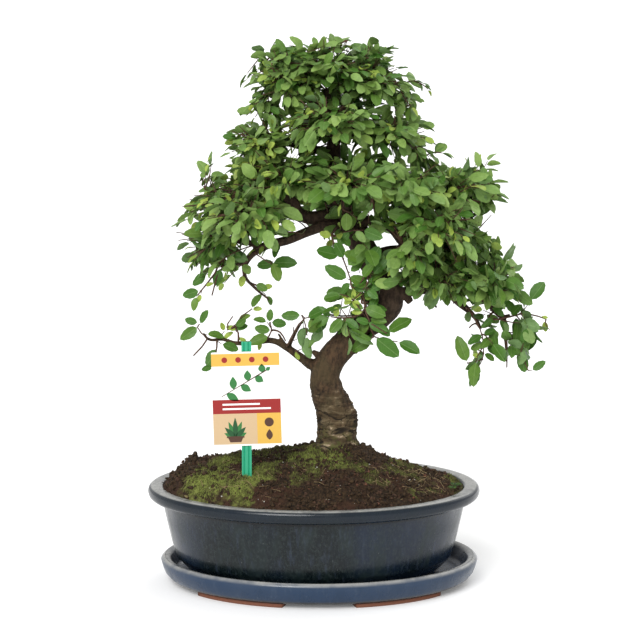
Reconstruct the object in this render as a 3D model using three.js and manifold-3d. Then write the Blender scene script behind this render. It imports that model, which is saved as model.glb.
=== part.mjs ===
// Chinese elm bonsai in an oval glazed pot, standing in its saucer, with a plant label.
// Millimetres, +Z up, the front of the tree towards -Y. The origin is on the surface
// under the middle of the whole plant, which leans to the right of its pot.

import * as THREE from "three";
import { mergeVertices } from "three/addons/utils/BufferGeometryUtils.js";
import ManifoldModule from "manifold-3d";

const wasm = await ManifoldModule();
wasm.setup();

// Driving dimensions
const GAP = 0.3; // between pieces that rest on or in each other
const OVAL = 0.779; // depth of the pot and saucer over their width
const OVAL_SIDES = 32;
const POT_HALF_WIDTH = 155.5;
const POT_RIM_TOP = 93;
const POT_FOOT_HEIGHT = 4;
const POT_FLOOR = 6; // thickness of the pot's floor
const POT_SHOULDER = [143.5, 83.5]; // where the wall meets the overhanging rim
const POT_INNER_TOP = [139.5, 90.5];
const POT_INNER_WAIST = [128, 47];
const POT_INNER_FOOT = 113;
const SAUCER_HALF_WIDTH = 149;
const SAUCER_RIM_TOP = 25.5;
const SAUCER_FOOT_HEIGHT = 4;
const SAUCER_FLOOR = 5;
const SAUCER_WALL = 9;
const SAUCER_SHIFT = 5.2; // the pot stands a little left of the saucer's middle
const FOOT_WIDTH = 15;
const DRAIN_RADIUS = 8;
const DRAIN_PLACE = 58;
const MESH_SIZE = 26;
const MESH_THICKNESS = 1;
const SOIL_EDGE = 90;
const SOIL_RISE = 36;
const SOIL_LEAN = 0.045; // the mound is higher on the left
const CARD_SIZE = [62, 0.8, 87];
const CARD_CENTRE = [-61.1, -62, 185.5];
const CARD_TILT = 1.6;
const STAKE_WIDTH = 9;
const STAKE_DEPTH = 3.2;
const STAKE_BOTTOM = 78;
const STAKE_POINT = 18;
const STAKE_TOP = 238;
const LEAF_LENGTH = 29; // about a quarter larger than life, to cover the crown
const LEAF_WIDTH = 17.5;
const LEAF_THICKNESS = 0.7;
const LEAVES_PER_TWIG = 3;
const LEAF_PITCH = 8; // between the leaves of a twig
const TWIG_ROOT = 7; // bare length at the foot of a twig
const TWIG_HALF_WIDTH = 1;
const CORE_SHARE = 0.36; // size of the twiggy core over its spray
const STEM_RADIUS = 1.1;
const SLIVER = 0.15; // edges shorter than this are closed up
const CROWN_MIDDLE = [29.8, 0]; // middle of the plant's box, seen from the pot's middle

// Finishes
const finish = (color, roughness, metalness = 0) =>
  new THREE.MeshStandardMaterial({ color, roughness, metalness });
const POT_GLAZE = finish(0x1d2b38, 0.25);
const SAUCER_GLAZE = finish(0x2b4668, 0.28);
const EARTH = finish(0x3a2c22, 0.95);
const BARK = finish(0x5d4c3c, 0.9);
const LEAF_GREEN = finish(0x3f7a2a, 0.5);
const WHITE_CARD = finish(0xf2f0ea, 0.6);
const STAKE_GREEN = finish(0x2f9c74, 0.45);
const MESH_BLACK = finish(0x2a2c2e, 0.7);

const vector = ([x, y, z]) => new THREE.Vector3(x, y, z);

// Solids and their joins
function solid(geometry) {
  geometry.deleteAttribute("normal");
  geometry.deleteAttribute("uv");
  const merged = mergeVertices(geometry, 1e-4);
  const triangles = [];
  const index = merged.index.array;
  for (let i = 0; i < index.length; i += 3) {
    const [a, b, c] = [index[i], index[i + 1], index[i + 2]];
    if (a !== b && b !== c && c !== a) triangles.push(a, b, c);
  }
  const vertProperties = new Float32Array(merged.attributes.position.array);
  const triVerts = new Uint32Array(triangles);
  return new wasm.Manifold(new wasm.Mesh({ numProp: 3, vertProperties, triVerts }));
}

function geometryOf(body) {
  const mesh = body.getMesh();
  const geometry = new THREE.BufferGeometry();
  geometry.setAttribute("position", new THREE.BufferAttribute(new Float32Array(mesh.vertProperties), 3));
  geometry.setIndex(new THREE.BufferAttribute(new Uint32Array(mesh.triVerts), 1));
  geometry.computeVertexNormals();
  return geometry;
}

function piece(name, body, material) {
  const mesh = new THREE.Mesh(geometryOf(body), material);
  mesh.name = name;
  return mesh;
}

const box = (width, depth, height, x, y, z) =>
  solid(new THREE.BoxGeometry(width, depth, height).translate(x, y, z));

// An oval of revolution: the profile gives half widths and heights
function ovalLathe(profile, place) {
  const points = profile.map(([radius, height]) => new THREE.Vector2(radius, height));
  const geometry = new THREE.LatheGeometry(points, OVAL_SIDES);
  geometry.rotateX(Math.PI / 2);
  geometry.scale(1, OVAL, 1);
  if (place) place(geometry.attributes.position, profile.length);
  return geometry;
}

// Four low feet are what two crossing channels leave of a foot ring
function footRing(outer, bottom, height, frontGap, sideGap) {
  const inner = outer - FOOT_WIDTH;
  const top = bottom + height + 1; // sunk into the body above
  const ring = ovalLathe([[inner, bottom], [outer, bottom], [outer, top], [inner, top], [inner, bottom]]);
  const tall = 2 * (height + 2);
  const alongY = box(frontGap, 3 * outer, tall, 0, 0, bottom);
  const alongX = box(3 * outer, sideGap, tall, 0, 0, bottom);
  return solid(ring).subtract(alongY).subtract(alongX);
}

function saucer() {
  const under = SAUCER_FOOT_HEIGHT;
  const floor = under + SAUCER_FLOOR;
  const rim = SAUCER_RIM_TOP;
  const wide = SAUCER_HALF_WIDTH;
  const inner = wide - SAUCER_WALL;
  const dish = solid(ovalLathe([
    [0, under], [wide - 10, under], [wide - 6, under + 2], [wide - 0.6, rim - 7], [wide, rim - 3],
    [wide - 2, rim - 0.4], [wide - 5, rim], [inner, rim - 1.5], [inner - 4, floor + 2.5],
    [inner - 8, floor], [0, floor],
  ]));
  const feet = footRing(wide - 13, 0, under, 68, 120);
  return dish.add(feet).translate(SAUCER_SHIFT, 0, 0);
}

function pot() {
  const stand = SAUCER_FOOT_HEIGHT + SAUCER_FLOOR + GAP;
  const under = stand + POT_FOOT_HEIGHT;
  const rim = POT_RIM_TOP;
  const wide = POT_HALF_WIDTH;
  const shell = solid(ovalLathe([
    [0, under], [108, under], [121, under + 4], [129.5, under + 13], [133.5, 40], POT_SHOULDER,
    [wide - 3, rim - 8.7], [wide, rim - 6], [wide - 0.4, rim - 2], [wide - 3, rim],
    [POT_INNER_TOP[0] + 3, rim], POT_INNER_TOP, POT_INNER_WAIST,
    [POT_INNER_FOOT, under + POT_FLOOR], [0, under + POT_FLOOR],
  ]));
  const feet = footRing(105, stand, POT_FOOT_HEIGHT, 60, 90);
  const bore = new THREE.CylinderGeometry(DRAIN_RADIUS, DRAIN_RADIUS, 5 * POT_FLOOR, 14);
  const drain = (x) => solid(bore.clone().rotateX(Math.PI / 2).translate(x, 0, under));
  return shell.add(feet).subtract(drain(-DRAIN_PLACE)).subtract(drain(DRAIN_PLACE));
}

const potFloorTop = SAUCER_FOOT_HEIGHT + SAUCER_FLOOR + GAP + POT_FOOT_HEIGHT + POT_FLOOR;

// A square of plastic mesh over each drainage hole keeps the soil in
function drainMesh(x) {
  const height = potFloorTop + GAP + MESH_THICKNESS / 2;
  const opening = MESH_SIZE / 4;
  const pitch = MESH_SIZE / 5;
  let plate = box(MESH_SIZE, MESH_SIZE, MESH_THICKNESS, x, 0, height);
  for (const column of [-1, 1]) {
    for (const row of [-1, 1]) {
      plate = plate.subtract(box(opening, opening, 4, x + column * pitch, row * pitch, height));
    }
  }
  return plate;
}

// Height of the mound, with the swelling round the trunk's foot and a shallow unevenness
function mound(x, y) {
  const edge = POT_INNER_TOP[0];
  const inside = Math.max(0, 1 - (x / edge) ** 2 - (y / (edge * OVAL)) ** 2);
  const foot = 7 * Math.exp(-((x - 24) ** 2 + 1.2 * y ** 2) / 26 ** 2);
  const uneven = 1.3 * Math.sin(x / 15 + 0.6) * Math.cos(y / 12 + 0.4) * Math.min(1, 4 * inside);
  return SOIL_EDGE + SOIL_RISE * inside ** 0.75 - SOIL_LEAN * x * Math.sqrt(inside) + foot + uneven;
}

function soilBody() {
  const bottom = potFloorTop + MESH_THICKNESS + 2 * GAP;
  const [waist, waistHeight] = POT_INNER_WAIST;
  const slope = (waist - POT_INNER_FOOT) / (waistHeight - potFloorTop);
  const play = 0.45; // across the wall, so that it is no less than the gap at the narrow ends
  const edge = POT_INNER_TOP[0] - play - 0.2;
  const rings = [1, 0.91, 0.78, 0.62, 0.44, 0.24, 0];
  const sides = [
    [0, bottom],
    [POT_INNER_FOOT + slope * (bottom - potFloorTop) - play, bottom],
    [waist - play, waistHeight],
  ];
  const profile = [...sides, ...rings.map((share) => [edge * share, SOIL_EDGE])];
  return solid(ovalLathe(profile, (position, count) => {
    for (let i = 0; i < position.count; i += 1) {
      if (i % count > sides.length) position.setZ(i, mound(position.getX(i), position.getY(i)));
    }
  }));
}

// A limb through points that each give x, y, z and radius, as a cylinder bent along them
function limb(points, sides, perSpan, swell = () => 1) {
  const path = new THREE.CatmullRomCurve3(points.map((point) => vector(point)), false, "centripetal");
  const spans = points.length - 1;
  const steps = spans * perSpan;
  const across = new THREE.Vector3(1, 0.2, 0.1);
  const rings = [];
  for (let step = 0; step <= steps; step += 1) {
    const t = step / steps;
    const centre = path.getPoint(t);
    const along = path.getTangent(t);
    across.addScaledVector(along, -across.dot(along)).normalize();
    const up = new THREE.Vector3().crossVectors(across, along);
    const span = Math.min(spans - 1, Math.floor(t * spans));
    const radius = THREE.MathUtils.lerp(points[span][3], points[span + 1][3], t * spans - span);
    rings.push({ centre, radius, across: across.clone(), up });
  }
  const geometry = new THREE.CylinderGeometry(1, 1, 1, sides, steps);
  const position = geometry.attributes.position;
  for (let i = 0; i < position.count; i += 1) {
    const [u, v] = [position.getX(i), position.getZ(i)];
    const ring = rings[Math.round((position.getY(i) + 0.5) * steps)];
    const reach = ring.radius * swell(Math.atan2(v, u), ring.centre.z);
    const place = ring.centre.clone();
    place.addScaledVector(ring.across, u * reach).addScaledVector(ring.up, v * reach);
    position.setXYZ(i, place.x, place.y, place.z);
  }
  return solid(geometry);
}

// The trunk rises, swings left, bends far right at an old cut and comes back under the crown
const TRUNK = [
  [22, 0, 104, 24], [22, 0, 124, 22], [22, 0, 136, 18.4], [22, 0, 150, 17.4], [19, -1, 167, 16.6],
  [13, -3, 182, 14.6], [10.5, -4, 197, 13.8], [16, -4, 211, 13.4], [28, -2, 225, 13], [44, 1, 240, 12.8],
  [60, 3, 252, 13.4], [70, 3, 266, 13.8], [65, 2, 284, 12.6], [54, 0, 302, 12.2], [44, -1, 320, 11.8],
  [37, 0, 338, 11.4], [29, 1, 354, 10], [21, 1, 371, 8.6], [18, 0, 390, 7.6], [18.5, 0, 412, 6.4],
  [16, 0, 438, 4.6], [11, 0, 463, 3],
];

// Limbs and twigs, each from inside the wood that bears it
const LIMBS = [
  [[72, 0, 279, 6], [84, -2, 273, 4.4], [90, -3, 265, 2.8]],
  [[36, 0, 337, 6], [12, -4, 337, 5.2], [-4, -8, 332.5, 4.6], [-24, -10, 324.5, 4.4], [-47, -12, 318, 4],
    [-62, -12, 304.5, 2.8], [-63.5, -12, 292, 1.8], [-55, -12, 281, 1.5], [-41, -12, 269, 1.1]],
  [[-47, -12, 318, 3.2], [-64, -10, 323, 2.6], [-80, -9, 323, 2]],
  [[-62, -12, 304.5, 2.2], [-76, -12, 300, 1.6], [-88, -11, 296, 1.2]],
  [[30, 4, 348, 8], [-12, 0, 346.5, 6], [-20, -5, 360, 5], [-40, -10, 371, 3.6], [-57, -12, 374, 2.4]],
  [[-38, -10, 370, 3], [-50, -26, 365, 2.2], [-55, -33, 362, 1.7]],
  [[30, 4, 352, 7], [8, 20, 360, 4.6], [-12, 36, 364, 3], [-22, 43, 365, 2.4]],
  [[40, -2, 340, 7], [53, -6, 341.5, 4.6], [68.5, -11, 337.5, 4.2], [79.5, -14, 325, 3.8],
    [93, -17, 305, 2.6]],
  [[66, 4, 280, 9], [80.5, 10, 273, 5.2], [97, 13, 274.5, 5], [119.6, 10, 276.5, 4.8], [136, 8, 263, 3.8],
    [150, 5, 250, 2.2], [155.8, 3, 239, 1.5]],
  [[54, 0, 304, 9], [75, 3, 312, 6], [98, 6, 309, 5.2], [126, 3, 296, 4.6], [145, -4, 282, 4.4],
    [157, -5, 270.5, 4], [170, -8, 257, 3.4], [176, -8, 250, 2.6], [177, -8, 240, 2], [179, -8, 221, 1.5],
    [178.7, -8, 210, 1.1]],
  [[108, 5, 304, 4], [120, 1, 313, 2.6], [128, -2, 319, 2]],
  [[176, -8, 252, 2], [182, -9, 254.5, 1.4]],
  [[177, -8, 238, 1.8], [181, -8, 233, 1.4], [184, -8, 229, 1.1]],
  [[22, 0, 366, 7.4], [45, -4, 372, 5], [75, -2, 368, 4.2], [98, -6, 369, 3], [105, -8, 370, 2.4]],
  [[84, -3, 368, 3], [98, -22, 358, 2.3], [105, -32, 353, 1.8]],
  [[88, -3, 368, 2.8], [112, 14, 361, 2.2], [136, 17, 360, 1.8], [147, 11, 364, 1.5]],
  [[25, 4, 358, 7], [50, 24, 364, 4.6], [70, 38, 366, 3], [80, 44, 366, 2.4]],
  [[34, 6, 350, 7.4], [32, 30, 360, 4.6], [31, 50, 368, 3], [31, 64, 371, 2.4]],
  [[60, 4, 296, 8], [78, 26, 304, 3.8], [90, 42, 310, 2.6]],
  [[30, -4, 352, 6.4], [30, -24, 362, 3.6], [29, -39, 370, 2.4]],
  [[18, 0, 404, 5.6], [-8, -2, 409, 3], [-26, -4, 413, 2.2]],
  [[18, 0, 416, 5], [46, -2, 427, 3.2], [60, 1, 430, 2.3]],
  [[16, 0, 438, 4], [0, -2, 450, 2.7], [-12, -3, 458, 2]],
  [[17, 0, 432, 4], [28, -1, 446, 3], [37, 0, 457, 2.1]],
  [[36, -4, 334, 4], [22, -24, 336, 2.4], [16, -34, 322, 1.8], [21, -34, 302, 1.4], [25, -32, 285, 1.1]],
  [[60, -6, 254, 3.4], [66, -18, 248, 1.6]],
  [[10, -4, 205, 8], [-2, -4, 207, 6], [-10, -3, 212, 5], [-24.6, -3, 222.4, 4], [-38.8, -3, 229.3, 3.3],
    [-53, -3, 227.5, 2.8], [-72.4, -2, 226.7, 2.2], [-84.4, -2, 230.3, 1.8], [-97.7, -1, 230.3, 1.5],
    [-103, -1, 236, 1.2]],
  [[-24, -3, 222, 2.4], [-15, -3, 240, 1.4], [-10, -4, 248, 1.1]],
  [[-26, -3, 224, 2.2], [-33, -3, 236, 1.2]],
];

// The foot flares in five lobes, and the trunk above is lightly muscled
function trunkSwell(angle, height) {
  const flare = Math.max(0, (150 - height) / 40);
  const lobes = 0.07 * flare * Math.cos(5 * angle + 0.7);
  return 1 + lobes + 0.05 * Math.sin(3 * angle + height / 19) + 0.03 * Math.sin(5 * angle - height / 8);
}

function wood() {
  let body = limb(TRUNK, 12, 1, trunkSwell);
  for (const points of LIMBS) {
    const sides = points[0][3] > 4.5 ? 6 : points[0][3] > 2.8 ? 4 : 3;
    body = body.add(limb(points, sides, 1));
  }
  return body.simplify(2 * SLIVER);
}

// The part of the trunk that stands in the soil, wider by the gap
function footHole() {
  const foot = TRUNK.slice(0, 5).map(([x, y, z, radius]) => [x, y, z, radius + 1.2 * GAP]);
  foot[0][2] -= GAP;
  return limb(foot, 12, 1, trunkSwell);
}

const stakeMiddle = CARD_CENTRE[1] + (CARD_SIZE[1] + STAKE_DEPTH) / 2 + GAP; // behind the card

// A stake with three ribs on its front and a flat point
function stake() {
  const half = STAKE_WIDTH / 2;
  const back = STAKE_DEPTH / 2;
  const front = -back;
  const groove = front + 1;
  const section = new THREE.Shape([
    [-half, back], [-half, front], [-0.64 * half, front], [-0.45 * half, groove], [-0.24 * half, front],
    [0.24 * half, front], [0.45 * half, groove], [0.64 * half, front], [half, front], [half, back],
  ].map(([x, y]) => new THREE.Vector2(x, y)));
  const geometry = new THREE.ExtrudeGeometry(section, { depth: 1, steps: 2, bevelEnabled: false });
  const position = geometry.attributes.position;
  const levels = [STAKE_BOTTOM, STAKE_BOTTOM + STAKE_POINT, STAKE_TOP];
  for (let i = 0; i < position.count; i += 1) {
    const level = Math.round(position.getZ(i) * 2);
    if (level === 0) position.setX(i, position.getX(i) * 0.25);
    position.setZ(i, levels[level]);
  }
  return solid(geometry.translate(CARD_CENTRE[0], stakeMiddle, 0));
}

function stakeSlot() {
  const height = POT_RIM_TOP;
  const middle = STAKE_BOTTOM - GAP + height / 2;
  return box(STAKE_WIDTH + 2 * GAP, STAKE_DEPTH + 2 * GAP, height, CARD_CENTRE[0], stakeMiddle, middle);
}

function card() {
  const plate = new THREE.BoxGeometry(...CARD_SIZE);
  plate.rotateY(-THREE.MathUtils.degToRad(CARD_TILT));
  return solid(plate.translate(...CARD_CENTRE));
}

// Foliage
const CROWN_HEART = vector([40, 0, 350]);
// Each spray: name, centre, half sizes, the point of the wood that it grows from, twigs
const SPRAYS = [
  ["apex", [8, 0, 491], [44, 38, 28], [11, 0, 461], 7],
  ["top_left", [-32, -4, 472], [31, 38, 28], [-9, -2.5, 456], 4],
  ["top_right", [54, 0, 474], [33, 40, 30], [34, 0, 454], 5],
  ["upper_front", [10, -42, 440], [33, 30, 24], [17, 0, 428], 4],
  ["upper_right", [80, 5, 425], [28, 38, 22], [56, 1, 429], 4],
  ["upper_left", [-47, -5, 418], [33, 40, 24], [-22, -4, 412], 4],
  ["upper_back", [15, 52, 440], [47, 30, 34], [17, 0, 430], 4],
  ["shoulder_left", [-26, -36, 392], [34, 34, 24], [-30, -8, 366], 4],
  ["front_mid", [28, -60, 383], [34, 28, 24], [29, -36, 369], 4],
  ["shoulder_right", [78, -34, 388], [36, 36, 24], [60, -4, 371], 5],
  ["left_upper", [-84, -8, 366], [36, 38, 26], [-53, -11, 373], 5],
  ["front_left", [-68, -52, 356], [30, 28, 22], [-53, -31, 363], 3],
  ["back_left", [-49, 54, 366], [42, 36, 32], [-20, 42, 365], 5],
  ["right_upper", [130, -12, 374], [36, 38, 26], [101, -7, 370], 5],
  ["right_tip", [163, 6, 371], [18, 22, 20], [144, 13, 363], 2],
  ["front_right", [118, -54, 346], [32, 28, 22], [103, -30, 354], 3],
  ["back_right", [107, 54, 364], [44, 36, 32], [77, 42, 366], 4],
  ["back_mid", [30, 86, 376], [38, 30, 32], [31, 60, 370], 4],
  ["left_low", [-102, -8, 321], [25, 32, 24], [-77, -9, 323], 4],
  ["left_inner", [-58, -12, 343], [26, 30, 20], [-60, -10.5, 322], 3],
  ["right_inner", [104, -20, 329], [32, 36, 26], [81, -14.5, 323], 4],
  ["right_outer", [149, -5, 329], [30, 38, 28], [125, -1, 317], 5],
  ["right_low", [116, -24, 293], [32, 26, 17], [116, 4, 301], 3],
  ["right_far", [172, -6, 290], [29, 34, 22], [158, -5.5, 269], 4],
  ["right_drop", [196, -10, 254], [20, 26, 20], [181, -9, 254], 3],
  ["right_hang", [156, -4, 224], [19, 14, 14], [155.6, 3, 241], 2],
  ["right_end", [178, -15, 216], [13, 12, 17], [183, -8, 230], 1],
  ["back_low_right", [112, 60, 316], [36, 32, 26], [88, 39, 309], 4],
  ["back_low_mid", [24, 66, 338], [26, 28, 22], [32, 28, 359], 3],
  ["trunk_front", [44, -36, 307], [26, 18, 24], [50, 0, 304], 3],
  ["trunk_low_left", [25, -30, 266], [24, 16, 16], [25, -32, 287], 2],
  ["trunk_low_right", [68, -30, 239], [26, 16, 14], [65, -16, 249], 2],
  ["limb_small", [-36, -12, 303], [14, 9, 8], [-38, -11, 320], 1],
  ["low_right", [-1, -6, 252], [22, 12, 11], [-11, -4, 246], 2],
  ["low_mid", [-44, -4, 243], [14, 10, 11], [-32, -3, 234], 1],
  ["low_inner", [-70, -2, 239], [18, 12, 11], [-71, -2, 227], 1],
  ["low_tip", [-111, 0, 243], [14, 11, 12], [-102, -1, 235], 1],
  ["left_dangle", [-102, -10, 290], [17, 12, 13], [-86, -11, 297], 1],
];

function randomDraws(seed) {
  let state = seed * 2654435761 >>> 0;
  return () => {
    state = (state + 0x6d2b79f5) >>> 0;
    let mixed = Math.imul(state ^ (state >>> 15), 1 | state);
    mixed = (mixed + Math.imul(mixed ^ (mixed >>> 7), 61 | mixed)) ^ mixed;
    return ((mixed ^ (mixed >>> 14)) >>> 0) / 4294967296;
  };
}

// Half of a leaf's edge from its neck to its tip: along its length, and out over its width
const BROAD_SIDE = [[0.26, 0.44], [0.64, 0.42]];
const NARROW_SIDE = [[0.44, 0.5]];

// The edge of a leaf from neck to neck, as x, y and height, on a twig that runs along +X
function leafEdge(neck, swing, size, lift, draw) {
  const length = LEAF_LENGTH * size;
  const width = LEAF_WIDTH * size;
  const droop = 0.3 - 0.75 * draw();
  const roll = 0.7 * (draw() - 0.5);
  const folded = 0.25;
  const edge = [
    ...BROAD_SIDE.map(([along, out]) => [along, -out]),
    [1, 0],
    ...NARROW_SIDE.map(([along, out]) => [along, out]),
  ];
  const [cosine, sine] = [Math.cos(swing), Math.sin(swing)];
  return edge.map(([along, out]) => {
    const [u, v] = [along * length, out * width];
    const height = lift + droop * u + roll * v + folded * Math.abs(v);
    return [neck + u * cosine - v * sine, u * sine + v * cosine, height];
  });
}

// A flat twig with its leaves at alternate sides, as elms bear them, in one thin arched plate
function twigPlate(leaves, draw) {
  const arch = (x) => -0.006 * x * x;
  const rib = (x) => TWIG_HALF_WIDTH * (1 - 0.35 * x / (LEAF_PITCH * leaves));
  const sides = { right: [[0, -rib(0), 0]], left: [[0, rib(0), 0]] };
  for (let i = 0; i < leaves - 1; i += 1) {
    const onLeft = i % 2 === 1;
    const neck = TWIG_ROOT + LEAF_PITCH * i;
    const swing = THREE.MathUtils.degToRad(56 + 8 * (draw() - 0.5));
    const out = rib(neck);
    const zigzag = 0.25 * i;
    const hand = onLeft ? 1 : -1;
    const before = [neck - 0.9, hand * (out + zigzag), arch(neck)];
    const after = [neck + 0.9, hand * (out + 0.2 + zigzag), arch(neck)];
    const size = 0.86 + 0.2 * draw();
    const edge = leafEdge(neck, hand * swing, size, arch(neck), draw);
    if (onLeft) sides.left.push(before, ...edge.reverse(), after);
    else sides.right.push(before, ...edge, after);
  }
  const end = TWIG_ROOT + LEAF_PITCH * (leaves - 1);
  const tip = leafEdge(end, 0, 1, arch(end), draw);
  return plate([...sides.right, ...tip, ...sides.left.reverse()]);
}

// A thin plate from its edge as x, y and height, split alike on both faces
function plate(edge) {
  const count = edge.length;
  const faces = THREE.ShapeUtils.triangulateShape(edge.map(([x, y]) => new THREE.Vector2(x, y)), []);
  const places = [];
  for (const side of [0.5, -0.5]) {
    for (const [x, y, height] of edge) places.push(x, y, height + side * LEAF_THICKNESS);
  }
  const index = [];
  for (const [a, b, c] of faces) index.push(a, b, c, a + count, c + count, b + count);
  for (let i = 0; i < count; i += 1) {
    const next = (i + 1) % count;
    index.push(i, i + count, next, next, i + count, next + count);
  }
  const geometry = new THREE.BufferGeometry();
  geometry.setAttribute("position", new THREE.BufferAttribute(new Float32Array(places), 3));
  geometry.setIndex(index);
  return geometry;
}

// A leafy twig from inside the core, its face turned up and away from the middle of the crown
function leafyTwig(spray, heading) {
  const { draw, middle, half } = spray;
  const towards = heading.clone().multiply(half).normalize();
  towards.z -= 0.35;
  towards.normalize();
  const away = middle.clone().sub(CROWN_HEART).normalize();
  const tilt = new THREE.Vector3(draw() - 0.5, draw() - 0.5, 0.55).addScaledVector(away, 0.9);
  const left = new THREE.Vector3().crossVectors(tilt, towards).normalize();
  const face = new THREE.Vector3().crossVectors(towards, left);
  const base = heading.clone().multiply(half).multiplyScalar(0.55 * CORE_SHARE).add(middle);
  const size = THREE.MathUtils.clamp(heading.clone().multiply(half).length() / 34, 0.72, 1);
  const geometry = twigPlate(LEAVES_PER_TWIG, draw);
  geometry.scale(size, size, 1);
  geometry.applyMatrix4(new THREE.Matrix4().makeBasis(towards, left, face).setPosition(base));
  return solid(geometry);
}

function core(centre, half, draw) {
  const geometry = new THREE.IcosahedronGeometry(1, 0);
  geometry.deleteAttribute("normal");
  geometry.deleteAttribute("uv");
  const lump = mergeVertices(geometry, 1e-4);
  const position = lump.attributes.position;
  for (let i = 0; i < position.count; i += 1) {
    const swell = CORE_SHARE * (0.85 + 0.3 * draw());
    position.setXYZ(i, position.getX(i) * half.x * swell, position.getY(i) * half.y * swell,
      position.getZ(i) * half.z * swell);
  }
  return solid(lump.translate(centre.x, centre.y, centre.z));
}

// The stem starts just off the bark, on the line from the wood to the spray's core
function stem(centre, root, bark) {
  const towards = root.clone().sub(centre).normalize();
  const hit = new THREE.Raycaster(centre, towards).intersectObject(bark)[0];
  const slant = Math.acos(THREE.MathUtils.clamp(Math.abs(hit.face.normal.dot(towards)), 0.6, 0.95));
  const play = GAP + 0.8 * STEM_RADIUS * Math.tan(slant);
  const start = hit.point.clone().addScaledVector(towards, -play);
  return limb([start, centre].map((place) => [place.x, place.y, place.z, STEM_RADIUS]), 3, 1);
}

// A loose scrap of a leaf that a join leaves behind is dropped
const larger = (one, other) => (other.volume() > one.volume() ? other : one);
const largest = (body) => body.decompose().reduce(larger);

function touches(body, others) {
  const { min, max } = body.boundingBox();
  return others.some((other) => {
    const reach = other.boundingBox();
    const apart = [0, 1, 2].some((axis) => reach.min[axis] > max[axis] || reach.max[axis] < min[axis]);
    return !apart && !body.intersect(other).isEmpty();
  });
}

const GOLDEN_TURN = Math.PI * (3 - Math.sqrt(5));

// Twigs head out evenly over the spray, most of them above its middle
function headings(count, draw) {
  const list = [];
  const start = draw() * 2 * Math.PI;
  for (let i = 0; i < count; i += 1) {
    const height = count < 3 ? 0.1 : 0.95 - 1.45 * (i + 0.5) / count;
    const turn = start + i * GOLDEN_TURN;
    const flat = Math.sqrt(1 - height ** 2);
    list.push(new THREE.Vector3(flat * Math.cos(turn), flat * Math.sin(turn), height));
  }
  return list;
}

function foliage(bark, neighbours) {
  const sprays = SPRAYS.map(([name, centre, half, root, twigs], i) => {
    const draw = randomDraws(i + 11);
    const middle = vector(centre);
    const body = core(middle, vector(half), draw).add(stem(middle, vector(root), bark));
    return { name, middle, half: vector(half), twigs, draw, body };
  });
  const tries = 9;
  for (const spray of sprays) {
    const others = [...neighbours, ...sprays.filter((other) => other !== spray).map((other) => other.body)];
    for (const heading of headings(spray.twigs, spray.draw)) {
      for (let attempt = 0; attempt < tries; attempt += 1) {
        const turned = heading.clone().applyAxisAngle(new THREE.Vector3(0, 0, 1), attempt * 0.35);
        const twig = leafyTwig(spray, turned);
        if (!touches(twig, others)) {
          spray.body = spray.body.add(twig);
          break;
        }
      }
    }
  }
  for (const spray of sprays) spray.body = largest(spray.body.simplify(SLIVER));
  return sprays;
}

// The whole plant
const bonsai = new THREE.Group();
bonsai.name = "chinese_elm_bonsai";
bonsai.position.set(-CROWN_MIDDLE[0], -CROWN_MIDDLE[1], 0);

const potBody = pot();
const woodBody = wood();
const stakeBody = stake();
const cardBody = card();
const soil = soilBody().subtract(footHole()).subtract(stakeSlot());
const trunk = piece("trunk", woodBody, BARK);

bonsai.add(piece("saucer", saucer(), SAUCER_GLAZE));
bonsai.add(piece("pot", potBody, POT_GLAZE));
bonsai.add(piece("drain_mesh_left", drainMesh(-DRAIN_PLACE), MESH_BLACK));
bonsai.add(piece("drain_mesh_right", drainMesh(DRAIN_PLACE), MESH_BLACK));
bonsai.add(piece("soil", soil, EARTH));
bonsai.add(trunk);
bonsai.add(piece("label_stake", stakeBody, STAKE_GREEN));
bonsai.add(piece("label_card", cardBody, WHITE_CARD));

for (const spray of foliage(trunk, [woodBody, stakeBody, cardBody])) {
  bonsai.add(piece(`spray_${spray.name}`, spray.body, LEAF_GREEN));
}

export default bonsai;
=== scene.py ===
"""Chinese elm bonsai in a glazed oval pot: its finished surfaces, foliage and studio."""

import math
import random

import bmesh
import bpy
from bpy.props import FloatProperty, FloatVectorProperty, IntProperty, PointerProperty
from bpy.types import Operator, Panel, PropertyGroup
from mathutils import Matrix, Vector, noise
from mathutils.bvhtree import BVHTree


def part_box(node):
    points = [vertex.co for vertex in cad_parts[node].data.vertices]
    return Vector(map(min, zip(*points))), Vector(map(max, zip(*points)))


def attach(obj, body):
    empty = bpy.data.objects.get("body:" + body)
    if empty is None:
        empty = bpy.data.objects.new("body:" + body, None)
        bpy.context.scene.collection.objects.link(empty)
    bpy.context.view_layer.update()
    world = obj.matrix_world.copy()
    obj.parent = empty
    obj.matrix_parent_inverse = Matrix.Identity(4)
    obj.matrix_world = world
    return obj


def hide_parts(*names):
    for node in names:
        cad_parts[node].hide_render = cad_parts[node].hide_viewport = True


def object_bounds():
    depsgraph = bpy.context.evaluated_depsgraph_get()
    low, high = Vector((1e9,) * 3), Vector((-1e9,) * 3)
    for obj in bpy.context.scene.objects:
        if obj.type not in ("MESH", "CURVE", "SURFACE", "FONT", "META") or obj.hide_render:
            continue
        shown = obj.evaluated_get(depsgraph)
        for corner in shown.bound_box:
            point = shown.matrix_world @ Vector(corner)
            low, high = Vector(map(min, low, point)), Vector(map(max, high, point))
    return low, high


bl_info = {
    "name": "Elm bonsai dresser",
    "version": (1, 0, 0),
    "blender": (4, 5, 0),
    "location": "View3D > Sidebar > Bonsai",
    "description": "Dresses the packed bonsai with bark, leaves, moss, glaze and a plant label",
    "category": "Object",
}

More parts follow.
